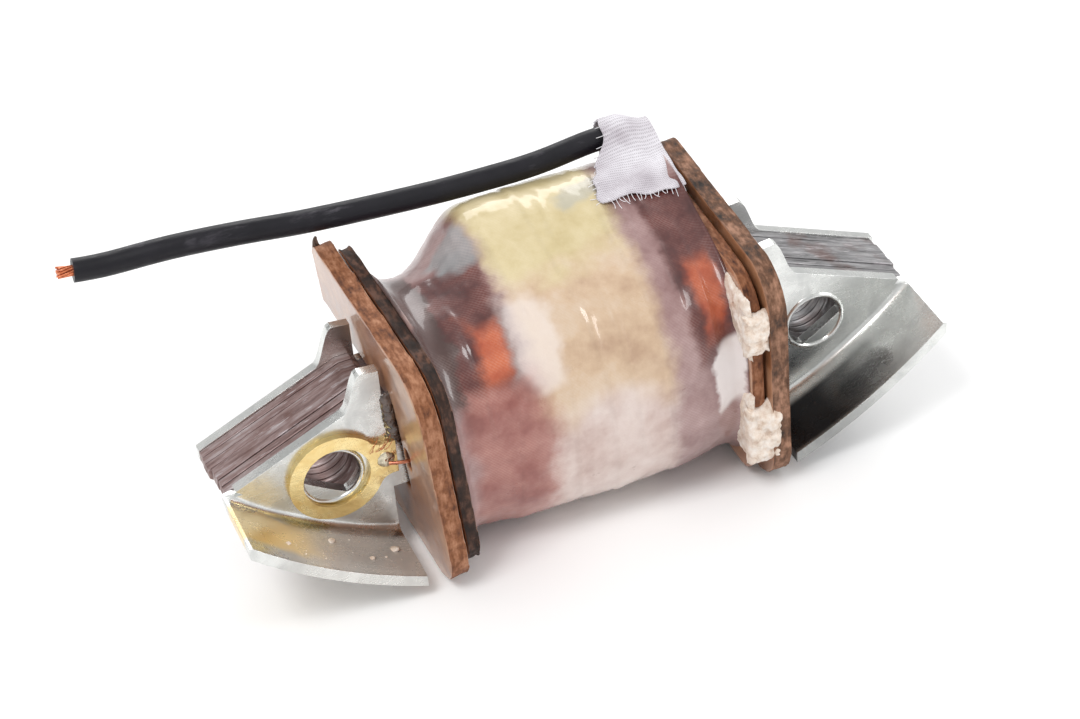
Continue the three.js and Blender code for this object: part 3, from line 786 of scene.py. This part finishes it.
def tape_point(degrees, t, left_plane, right_plane):
    """Point on the wrapped surface: t runs from 0 at the left cheek to 1 at the right one."""
    angle = np.radians(degrees)
    edge_left = tape_radius(degrees, COIL_LEFT + 0 * degrees) * 1.06
    edge_right = tape_radius(degrees, COIL_RIGHT + 0 * degrees)
    left = plane_x(left_plane, edge_left * np.cos(angle), CENTRE_Z + edge_left * np.sin(angle))
    right = plane_x(right_plane, edge_right * np.cos(angle), CENTRE_Z + edge_right * np.sin(angle))
    x = left + (right - left) * t
    radius = tape_radius(degrees, np.clip(x, COIL_LEFT, COIL_RIGHT))
    radius = radius + 1.25 * np.exp(-(x - left) / 0.75) + 0.95 * np.exp(-(right - x) / 0.7)
    return x, radius


def fold(x, degrees, at, lean, start, end, height, width):
    """A ridge in the tape that runs round the coil from one angle to another, leaning along it."""
    along = smooth((degrees - start) / 12) * smooth((end - degrees) / 12)
    offset = x - at - lean * (degrees - (start + end) / 2)
    return height * along * np.exp(-((offset / width) ** 2))


def wrap_step(x, degrees, at, lean, height):
    """The edge of one turn of tape over the one below."""
    offset = x - at - lean * degrees - 0.12 * np.sin(np.radians(3 * degrees))
    return height * smooth(offset / 0.25) * np.exp(-np.clip(offset, 0, None) / 2.2)


def add_tape():
    turns, stations = 420, 132
    left_plane = inner_plane("left_cheek_inner", -1)
    right_plane = inner_plane("right_cheek_inner", 1)
    degrees, t = np.meshgrid(
        np.linspace(-90, 270, turns, endpoint=False), np.linspace(0, 1, stations), indexing="ij"
    )
    x, radius = tape_point(degrees, t, left_plane, right_plane)
    even = on_coil(degrees, x, radius)
    flat = even.reshape(-1, 3)
    lumps = ripple(flat, 5.5, 2, 5.0).reshape(x.shape)
    wrinkles = ripple(flat * (1.0, 0.45, 0.45), 1.0, 3, 8.0).reshape(x.shape)
    inside = smooth((x - COIL_LEFT) / 1.5) * smooth((COIL_RIGHT - x) / 1.5)
    radius = radius + inside * (0.2 * lumps + 0.05 * wrinkles)
    for step in ((-1.6, 0.012, 0.16), (5.4, 0.008, 0.14), (-7.9, -0.006, 0.1)):
        radius = radius + inside * wrap_step(x, degrees, *step)
    folds = (
        (8.4, -0.035, 62, 118, 0.28, 0.32),
        (6.6, -0.03, 58, 104, 0.2, 0.28),
        (10.2, -0.02, 74, 140, 0.22, 0.3),
        (12.4, -0.008, 88, 165, 0.18, 0.26),
        (0.8, -0.012, 60, 150, 0.14, 0.3),
        (3.2, 0.014, 96, 205, 0.14, 0.35),
        (-5.2, 0.01, 70, 126, 0.14, 0.3),
        (-11.4, 0.012, 96, 170, 0.16, 0.3),
        (-3.0, 0.0, 150, 225, 0.12, 0.25),
    )
    for one in folds:
        radius = radius + inside * fold(x, degrees, *one)
    outside = on_coil(degrees, x, radius)
    inner_t = np.array([1.0, 0.85, 0.6, 0.4, 0.15, 0.0])
    inner_degrees, inner_t = np.meshgrid(degrees[:, 0], inner_t, indexing="ij")
    inner_x, _ = tape_point(inner_degrees, inner_t, left_plane, right_plane)
    inner_radius = tape_radius(inner_degrees, np.clip(inner_x, COIL_LEFT, COIL_RIGHT)) - 0.7
    rings = np.concatenate([outside, on_coil(inner_degrees, inner_x, inner_radius)], axis=1)
    columns = rings.shape[1]
    piece = make("tape_wrap", rings.reshape(-1, 3), grid_faces(turns, columns, True, True))
    round_length = np.radians(degrees) * 13
    uv = np.zeros((turns, columns, 2))
    uv[:, :stations, 0] = x
    uv[:, :stations, 1] = round_length
    add_uv(piece, "wrap", uv.reshape(-1, 2))
    return stand_for(piece, "varnished_tape", tape_look(), "outer_tape")


def tape_look():
    """Opaque varnished tape, with painted zones for the copper and paper that show through the real one, and
    a painted highlight.
    """
    look = Look("varnished_tape", Coat_Weight=0.6, Coat_Roughness=0.07, Coat_IOR=1.5)
    x, y, z = look.split()[:3]
    along = look.math("MULTIPLY", x, 1000.0)
    rise = look.math("SUBTRACT", z, CENTRE_Z * MM)
    front = look.math("MULTIPLY", y, -1.0)
    round_about = look.math("MULTIPLY", look.math("ARCTAN2", front, rise), 57.2958)
    drift = look.math("MULTIPLY", look.math("SUBTRACT", look.noise(190, 4, 0.6), 0.5), 4.5)
    eddies = look.noise(120, 3, 0.5, stretch=(1, 1.3, 0.8))
    swirl = look.math("MULTIPLY", look.math("SUBTRACT", eddies, 0.5), 46.0)
    along = look.math("ADD", along, drift)
    round_about = look.math("ADD", round_about, swirl)

    def zone(x0, x1, soft_x, a0, a1, soft_a, weight=1.0):
        across = look.within(along, x0, x1, soft_x)
        around = look.within(round_about, a0, a1, soft_a)
        return look.math("MULTIPLY", look.math("MULTIPLY", across, around), weight)

    cloud = look.noise(230, 5, 0.6)
    cream = look.ramp(cloud, [
        (0.3, (0.44, 0.29, 0.19)), (0.5, (0.58, 0.42, 0.28)), (0.72, (0.68, 0.55, 0.42)),
    ])
    yellow = look.ramp(cloud, [(0.3, (0.5, 0.4, 0.2)), (0.7, (0.7, 0.6, 0.36))])
    rosy = look.ramp(cloud, [(0.3, (0.48, 0.34, 0.3)), (0.7, (0.76, 0.66, 0.61))])
    colour = look.mix(look.within(round_about, -60.0, 2.0, 18.0), cream, yellow)
    colour = look.mix(look.within(round_about, 86.0, 200.0, 18.0), colour, rosy)
    mauve = look.ramp(cloud, [(0.3, (0.19, 0.09, 0.085)), (0.7, (0.4, 0.26, 0.25))])
    for ends in ((-16, -8.0, 2.6), (8.6, 18, 2.4)):
        colour = look.mix(look.within(along, *ends), colour, mauve)
    deep = look.ramp(cloud, [(0.35, (0.05, 0.006, 0.005)), (0.7, (0.14, 0.022, 0.014))])
    salmon = look.ramp(cloud, [(0.35, (0.24, 0.06, 0.045)), (0.7, (0.44, 0.17, 0.13))])
    colour = look.mix(zone(-12.4, -6.6, 2.6, 54, 140, 14, 0.85), colour, salmon)
    colour = look.mix(zone(-13.2, -8.0, 1.5, -12, 52, 9, 0.98), colour, deep)
    colour = look.mix(zone(10.8, 15.5, 1.4, -14, 68, 10, 0.95), colour, deep)
    orange = look.ramp(cloud, [(0.35, (0.38, 0.06, 0.02)), (0.7, (0.68, 0.17, 0.06))])
    colour = look.mix(zone(-10.8, -9.2, 1.5, 31, 50, 10, 0.9), colour, orange)
    colour = look.mix(zone(12.1, 13.2, 1.2, 26, 58, 11, 0.85), colour, orange)
    colour = look.mix(zone(-16.0, -13.6, 0.6, -24, 60, 9, 0.85), colour, (0.045, 0.02, 0.016))
    colour = look.mix(zone(-10.6, -7.8, 1.4, -27, -15, 6, 0.6), colour, (0.3, 0.35, 0.36))
    colour = look.mix(zone(3.6, 7.4, 1.4, -24, -15, 5, 0.5), colour, (0.33, 0.36, 0.36))
    colour = look.mix(zone(12.4, 15.0, 0.7, 72, 100, 5, 0.85), colour, (0.78, 0.72, 0.7))
    # Painted highlight: a pale patch on the varnish near the left end of the paper band.
    colour = look.mix(zone(-7.2, -4.2, 1.8, 24, 50, 10, 0.5), colour, (0.85, 0.79, 0.76))

    threads = [look.bands("wrap", 43, 0.26, 2.4), look.bands("wrap", -47, 0.34, 2.4)]
    cloth = look.math("ADD", look.math("MULTIPLY", threads[0], 0.7), look.math("MULTIPLY", threads[1], 0.3))
    worn = look.ramp(look.noise(230, 4, 0.6), [(0.42, 0.0), (0.68, 0.8)])
    shade = look.math("MULTIPLY", look.ramp(cloth, [(0.2, 0.0), (0.8, 1.0)]), worn)
    pale = look.mix(look.math("MULTIPLY", shade, 0.13), colour, (0.8, 0.66, 0.6))
    look.set("Base Color", look.mix(look.math("MULTIPLY", worn, 0.1), pale, (0.12, 0.05, 0.04)))
    look.set("Roughness", look.ramp(look.noise(350, 4), [(0.3, 0.26), (0.75, 0.5)]))
    relief = look.bump(look.math("MULTIPLY", cloth, worn), 0.00002, 0.4)
    look.set("Normal", look.bump(look.noise(700, 3, 0.5), 0.0001, 0.4, relief))
    return look


add_tape()


# ---- Hidden layers below the tape ----------------------------------------------------------------

def add_inner_layers():
    copper = Look("enamelled_copper", Metallic=0.9)
    turns = copper.node("ShaderNodeTexWave", {
        "Vector": copper.place(), "Scale": 700.0, "Distortion": 0.6,
    }, wave_type="BANDS", bands_direction="X").outputs["Fac"]
    copper.set("Base Color", copper.ramp(turns, [(0.0, (0.16, 0.03, 0.015)), (1.0, (0.62, 0.19, 0.09))]))
    copper.set("Roughness", copper.ramp(copper.noise(900), [(0.3, 0.22), (0.7, 0.4)]))
    copper.set("Normal", copper.bump(turns, 0.0002, 0.9))
    dress(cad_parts["winding"], copper)

    paper = Look("band_paper")
    fibres = paper.noise(1500, 5, 0.7, stretch=(1, 0.3, 0.3))
    paper.set("Base Color", paper.ramp(fibres, [(0.3, (0.6, 0.5, 0.28)), (0.7, (0.84, 0.76, 0.52))]))
    paper.set("Roughness", paper.ramp(fibres, [(0.3, 0.6), (0.7, 0.85)]))
    paper.set("Normal", paper.bump(fibres, 0.00005))
    dress(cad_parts["paper_band"], paper)

    board = Look("former_board")
    press = board.noise(900, 5, 0.7)
    board.set("Base Color", board.ramp(press, [(0.3, (0.3, 0.18, 0.08)), (0.7, (0.48, 0.33, 0.17))]))
    board.set("Roughness", board.ramp(press, [(0.3, 0.55), (0.7, 0.8)]))
    board.set("Normal", board.bump(press, 0.00008))
    dress(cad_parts["former_tube"], board)


add_inner_layers()


# ---- Brass earth tag -----------------------------------------------------------------------------

def brass_look():
    look = Look("brass", Metallic=1.0)
    tarnish = look.noise(330, 5, 0.6, distortion=0.6)
    look.set("Base Color", look.ramp(
        tarnish, [(0.28, (0.66, 0.45, 0.17)), (0.44, (0.9, 0.68, 0.3)), (0.7, (1.0, 0.84, 0.45))]
    ))
    look.set("Roughness", look.ramp(tarnish, [(0.3, 0.34), (0.7, 0.22)]))
    marks = look.noise(2600, 4, 0.7, stretch=(0.2, 1, 1))
    relief = look.bump(look.noise(500, 3), 0.00012, 0.55)
    look.set("Normal", look.bump(look.ramp(marks, [(0.48, 0.0), (0.52, 1.0)]), 0.00001, 0.5, relief))
    return look


def solder_look():
    look = Look("solder", Metallic=1.0)
    grain = look.noise(1500, 4, 0.6)
    look.set("Base Color", look.ramp(grain, [(0.3, (0.5, 0.45, 0.34)), (0.7, (0.82, 0.76, 0.6))]))
    look.set("Roughness", look.ramp(grain, [(0.3, 0.4), (0.7, 0.18)]))
    look.set("Normal", look.bump(grain, 0.00006))
    return look


def enamel_look():
    look = Look("enamel_wire", Metallic=0.7, Coat_Weight=0.8, Coat_Roughness=0.1)
    tone = look.noise(1800, 3)
    look.set("Base Color", look.ramp(tone, [(0.3, (0.28, 0.06, 0.025)), (0.7, (0.6, 0.2, 0.09))]))
    look.set("Roughness", look.ramp(tone, [(0.3, 0.2), (0.7, 0.4)]))
    return look


def add_tag():
    tag = bevelled("earth_tag", "brass_tag", 0.2, sharp=40, segments=3)
    stand_for(tag, "brass", brass_look(), "earth_tag")
    low, high = box("tag_solder")
    middle = (low + high) / 2
    radius = (high[0] - low[0]) / 2
    height = high[1] - low[1]
    slopes = np.linspace(0.02, math.pi / 2, 9)
    profile = [(radius * math.sin(a), 0.4 * height * (0.02 + 0.98 * math.cos(a))) for a in slopes]
    profile += [(radius, -0.05), (0.02, -0.05)]
    bead = lathe("solder_bead", profile, (middle[0], high[1], middle[2]), 40)
    points = points_of(bead)
    out = points - (middle[0], high[1], middle[2])
    lumpy = 1 + 0.13 * ripple(points, 0.7, 2, 6.0)
    move_points(bead, (middle[0], high[1], middle[2]) + out * lumpy[:, None])
    solder = solder_look()
    stand_for(bead, "solder", solder, "tag_solder")
    dress(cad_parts["lead_joint"], solder)


def wire_line(node, route):
    piece = tubes(f"{node}_enamelled", [route], 0.2)
    return stand_for(piece, "copper_wire", enamel, node)


def add_wires():
    low, high = box("start_wire")
    solder_low = box("tag_solder")[0]
    wire_z = (low[2] + high[2]) / 2
    wire_y = (low[1] + high[1]) / 2
    wire_line("start_wire", [
        (high[0] - 0.2, wire_y, wire_z - 0.3),
        (high[0] - 1.8, wire_y - 0.1, wire_z - 0.15),
        (high[0] - 4.5, wire_y - 0.1, wire_z),
        (low[0] + 1.2, wire_y, wire_z + 0.1),
        (low[0] + 0.2, solder_low[1] + 0.05, wire_z),
    ])
    low, high = box("finish_wire")
    wire_line("finish_wire", [
        (low[0], high[1] - 0.2, high[2] - 0.2),
        ((low[0] + high[0]) / 2, high[1] - 0.4, high[2] - 0.8),
        (high[0] - 0.2, high[1] - 1.3, high[2] - 2.6),
        (high[0] - 0.2, low[1] + 0.2, low[2] + 0.2),
    ])


enamel = enamel_look()
add_tag()
add_wires()


# ---- Gauze over the lead's joint -----------------------------------------------------------------

GAUZE_FROM = 39
GAUZE_TO = 80


def gauze_radius(degrees, x):
    clear = seat_radius + LEAD_DIAMETER / 2 + 0.75
    seat = tape_radius(degrees, np.clip(x, COIL_LEFT, COIL_RIGHT)) + LAYER_CLEARANCE
    top = tape_radius(LEAD_ANGLE, np.clip(x, COIL_LEFT, COIL_RIGHT))
    hump = (clear - top) * np.exp(-((turn_from(degrees, LEAD_ANGLE) / 7.5) ** 2))
    sag = 1 - 0.25 * smooth((x - 12.5) / 3)
    fan = 0.16 * np.sin((degrees - LEAD_ANGLE) * 0.55 + (x - 9) * 1.1) * smooth((degrees - 58) / 12)
    return seat + hump * sag + fan + 0.15


def add_gauze():
    rows, columns = 110, 60
    left = box("lead_gauze")[0][0] - 0.3
    right = cheek_low[0] - 0.9
    s, t = np.meshgrid(np.linspace(0, 1, rows), np.linspace(0, 1, columns), indexing="ij")
    ragged_low = 1.6 * np.array([noise.noise(Vector((7.0, k * 4, 0))) for k in t[0]])
    ragged_left = 0.5 * np.array([noise.noise(Vector((3.0, k * 9, 1))) for k in s[:, 0]])
    degrees = GAUZE_FROM + (GAUZE_TO - GAUZE_FROM + ragged_low[None, :]) * s
    start = left + ragged_left[:, None] + 4.0 * smooth((0.85 - s) / 0.5)
    x = start + (right - start) * t
    radius = gauze_radius(degrees, x)
    piece = make("gauze_wrap", on_coil(degrees, x, radius).reshape(-1, 3), grid_faces(rows, columns))
    add_uv(piece, "cloth", np.stack([x, np.radians(degrees) * 20], axis=-1).reshape(-1, 2))
    thick = piece.modifiers.new("thick", "SOLIDIFY")
    thick.thickness = 0.16 * MM
    thick.offset = 0
    stand_for(piece, "gauze", gauze_look(), "lead_gauze")
    add_threads(degrees, x, radius)


def add_threads(degrees, x, radius):
    """Loose ends along the gauze's lower and left edges."""
    rng = np.random.default_rng(21)
    lines = []
    for k in range(6, x.shape[1], 3):
        a, b = degrees[-1, k], x[-1, k]
        reach = rng.uniform(1.2, 3.4)
        lines.append([
            on_coil(a + reach * f, b + 0.25 * f * rng.normal(), gauze_radius(a + reach * f, b) - 0.12 * f)
            for f in (-0.6, 0.0, 0.5, 1.0)
        ])
    for k in range(8, x.shape[0], 5):
        a, b = degrees[k, 0], x[k, 0]
        reach = rng.uniform(0.2, 0.75)
        lines.append([
            on_coil(a + 1.2 * f * rng.normal(), b - reach * f, gauze_radius(a, b - reach * f) - 0.1 * f)
            for f in (-0.8, 0.0, 0.5, 1.0)
        ])
    threads = tubes("gauze_threads", lines, 0.035, 1)
    stand_for(threads, "gauze", thread_look)


def gauze_look():
    """Thin white glass gauze, a little see-through between its threads."""
    look = Look("gauze", Roughness=0.6)
    cloth = look.math("MAXIMUM", look.bands("cloth", 10, 0.21, 2.0), look.bands("cloth", 97, 0.26, 2.0))
    cloud = look.noise(260, 4)
    base = look.ramp(cloud, [(0.3, (0.48, 0.44, 0.48)), (0.7, (0.76, 0.74, 0.78))])
    gaps = look.ramp(cloth, [(0.35, 1.0), (0.85, 0.0)])
    look.set("Base Color", look.mix(look.math("MULTIPLY", gaps, 0.22), base, (0.34, 0.28, 0.32)))
    cover = look.math("ADD", cloth, look.math("MULTIPLY", cloud, 0.5))
    look.set("Alpha", look.ramp(cover, [(0.45, 0.66), (0.95, 0.95)]))
    look.set("Roughness", look.ramp(cloud, [(0.3, 0.4), (0.7, 0.62)]))
    look.set("Normal", look.bump(cloth, 0.00003, 0.6))
    return look


thread_look = Look("gauze_thread", Roughness=0.6)
thread_look.set("Base Color", thread_look.ramp(
    thread_look.noise(1500), [(0.3, (0.7, 0.68, 0.72)), (0.7, (0.92, 0.91, 0.93))]
))
add_gauze()


# ---- Dried adhesive and varnish ------------------------------------------------------------------

def crust(name, low, high, outward, seed, node=None):
    """A lumpy patch that fills a box and bulges to one side: outward is 0 for -X and 1 for -Y."""
    steps = 44
    side = 1 - outward
    middle = (low + high) / 2
    half = (high - low) / 2
    u, v = np.meshgrid(np.linspace(-1, 1, steps), np.linspace(-1, 1, steps), indexing="ij")
    places = np.stack([u * half[side], v * half[2], 0 * u], axis=-1).reshape(-1, 3)
    ragged = 1 + 0.13 * ripple(places, 2.4, 3, seed).reshape(u.shape)
    across = middle[side] + half[side] * u * ragged
    up = middle[2] + half[2] * v * ragged.T
    dome = np.clip(1 - np.maximum(np.abs(u), np.abs(v)) ** 4, 0, 1) ** 0.5
    lump = np.clip(0.75 + 0.3 * ripple(places, 1.7, 3, seed + 5).reshape(u.shape), 0.25, 1.1)
    columns = [None, None, np.concatenate([up, up])]
    columns[side] = np.concatenate([across, across])
    base = high[outward]
    columns[outward] = np.concatenate([base - 2 * half[outward] * dome * lump - 0.05, base + 0 * u])
    count = steps * steps
    faces = grid_faces(steps, steps)
    faces += [tuple(count + k for k in reversed(f)) for f in grid_faces(steps, steps)]
    border = [i * steps for i in range(steps)]
    border += [(steps - 1) * steps + j for j in range(1, steps)]
    border += [i * steps + steps - 1 for i in range(steps - 2, -1, -1)]
    border += [j for j in range(steps - 2, 0, -1)]
    for a, b in zip(border, border[1:] + border[:1]):
        faces.append((a, b, b + count, a + count))
    piece = make(name, np.stack(columns, axis=-1).reshape(-1, 3), faces)
    return stand_for(piece, "dried_adhesive", adhesive, *([node] if node else []))


def adhesive_look():
    look = Look("dried_adhesive", Coat_Weight=0.25, Coat_Roughness=0.3)
    clumps = look.noise(900, 6, 0.7)
    look.set("Base Color", look.ramp(
        clumps, [(0.3, (0.5, 0.34, 0.24)), (0.46, (0.74, 0.62, 0.52)), (0.65, (0.88, 0.82, 0.76))]
    ))
    look.set("Roughness", look.ramp(clumps, [(0.3, 0.45), (0.7, 0.85)]))
    relief = look.bump(clumps, 0.00025, 0.9)
    look.set("Normal", look.bump(look.cells(1700), 0.0001, 0.6, relief))
    return look


def add_adhesive():
    """Two patches on the right cheek's inner face, each drawn out over the cheek's front rim."""
    low, high = box("adhesive_upper")
    crust("adhesive_upper_crust", low - (0.3, 0.2, 0.0), high + (0.1, 0.0, -0.4), 0, 3.0, "adhesive_upper")
    rim = np.array((low[0] - 0.2, cheek_low[1] - 0.35, low[2] + 0.6))
    crust("adhesive_upper_rim", rim, np.array((low[0] + 2.6, low[1] + 0.25, high[2] - 1.9)), 1, 9.0)
    low, high = box("adhesive_lower")
    crust("adhesive_lower_crust", low - (0.4, 0.2, 0.8), high + (0.1, 0.4, 0.2), 0, 5.0, "adhesive_lower")
    rim = np.array((low[0] - 0.3, cheek_low[1] - 0.4, low[2] - 1.2))
    crust("adhesive_lower_rim", rim, np.array((low[0] + 3.6, low[1] + 0.35, high[2] - 1.2)), 1, 14.0)


adhesive = adhesive_look()
add_adhesive()


# ---- Varnish and loose fibres --------------------------------------------------------------------

def hit(node, start, way):
    """Where a ray from start meets a CAD node, or None."""
    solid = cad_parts[node]
    places = [solid.matrix_world @ v.co / MM for v in solid.data.vertices]
    tree = BVHTree.FromPolygons(places, [p.vertices for p in solid.data.polygons])
    return tree.ray_cast(Vector(start), Vector(way))[0]


def lump(centre, radii, seed):
    """Points and faces of a flattened, uneven drop."""
    rows, columns = 14, 22
    down, turn = np.meshgrid(
        np.linspace(0.05, math.pi - 0.05, rows), np.linspace(0, 2 * math.pi, columns, endpoint=False),
        indexing="ij",
    )
    way = np.stack([np.sin(down) * np.cos(turn), np.sin(down) * np.sin(turn), np.cos(down)], axis=-1)
    way = way.reshape(-1, 3)
    uneven = 1 + 0.35 * ripple(way, 1.1, 3, seed)
    faces = grid_faces(rows, columns, False, True)
    faces.append(tuple(range(columns)))
    faces.append(tuple(reversed(range((rows - 1) * columns, rows * columns))))
    return np.asarray(centre) + way * uneven[:, None] * np.asarray(radii), faces


def lumps(name, drops):
    """One mesh of several drops."""
    points, faces = [], []
    for k, (centre, radii) in enumerate(drops):
        more, sides = lump(centre, radii, 3.0 * k)
        start = sum(len(p) for p in points)
        points.append(more)
        faces += [tuple(start + v for v in side) for side in sides]
    return make(name, np.concatenate(points), faces)


def resin_look():
    look = Look("resin", Coat_Weight=0.9, Coat_Roughness=0.06, Coat_IOR=1.5)
    cloud = look.noise(600, 4, 0.6)
    look.set("Base Color", look.ramp(cloud, [(0.35, (0.012, 0.008, 0.007)), (0.7, (0.11, 0.06, 0.04))]))
    look.set("Roughness", look.ramp(cloud, [(0.3, 0.12), (0.7, 0.3)]))
    look.set("Normal", look.bump(look.noise(900, 3), 0.00012, 0.6))
    return look


def add_varnish():
    """A dark pool where the left cheek meets the front plate, and pale specks on the left pole shoe."""
    plate_y = box("earth_tag")[1][1]
    drops = []
    for z in np.arange(14.6, 19.4, 0.5):
        cheek_x = plane_x(inner_plane("left_cheek_outer", 1), plate_y, z)
        drops.append(((cheek_x - 0.25, plate_y + 0.05, z), (0.85, 0.5, 0.9)))
    stand_for(lumps("varnish_fillet", drops), "varnished_fibre", resin_look())
    rng = np.random.default_rng(8)
    specks = []
    for _ in range(16):
        size = 0.05 + 0.2 * rng.random() ** 3
        ground = hit("pole_shoe_plate", (rng.uniform(-34, -21.5), rng.uniform(-11.3, -6.6), 30), (0, 0, -1))
        if ground:
            specks.append((ground, (size * 1.3, size, size * 0.45)))
    for x, y, size in ((-21.8, -8.2, 0.55), (-27.9, -7.6, 0.42), (-24.6, -9.8, 0.34)):
        ground = hit("pole_shoe_plate", (x, y, 30), (0, 0, -1))
        if ground:
            specks.append((ground, (size, size * 0.8, size * 0.4)))
    stand_for(lumps("varnish_specks", specks), "dried_adhesive", adhesive)


def add_frays():
    """Torn fibres at the left cheek's upper back corner and fine strands by the tag."""
    low, high = box("left_cheek_outer")
    corner = np.array((low[0] + 0.5, high[1] - 1.6, high[2] - 1.4))
    lines = []
    for k in range(9):
        turn = np.linspace(0, 3.4 - 0.22 * k, 9)
        reach = 0.34 + 0.09 * k
        out = corner + (0.16 * k, 0.12 * (k % 3), 0.1 * (k % 4))
        lines.append([out + (-reach * math.sin(t), 0.4 * t, reach * (1 - math.cos(t))) for t in turn])
    stand_for(tubes("cheek_frays", lines, 0.09, 2), "varnished_fibre", torn_look)
    tag_low, tag_high = box("earth_tag")
    rng = np.random.default_rng(5)
    strands = []
    for k in range(6):
        start = np.array((tag_high[0] - 1.2 - 0.3 * k, tag_low[1] - 0.05, box("tag_solder")[1][2] + 0.4))
        drift = rng.normal(0, 0.25, 3)
        strands.append([start, start + (0.5, -0.25, 0.4) + drift, start + (1.1, 0.1, 1.2) + drift])
    stand_for(tubes("tag_strands", strands, 0.035, 1), "copper_wire", enamel)


torn_look = fibre_look(
    "fibre_torn",
    ((0.02, 0.012, 0.01), (0.1, 0.05, 0.03), (0.3, 0.2, 0.15)),
    ((0.02, 0.012, 0.01), (0.1, 0.05, 0.03), (0.3, 0.2, 0.15)),
    0.4,
)
add_varnish()
add_frays()
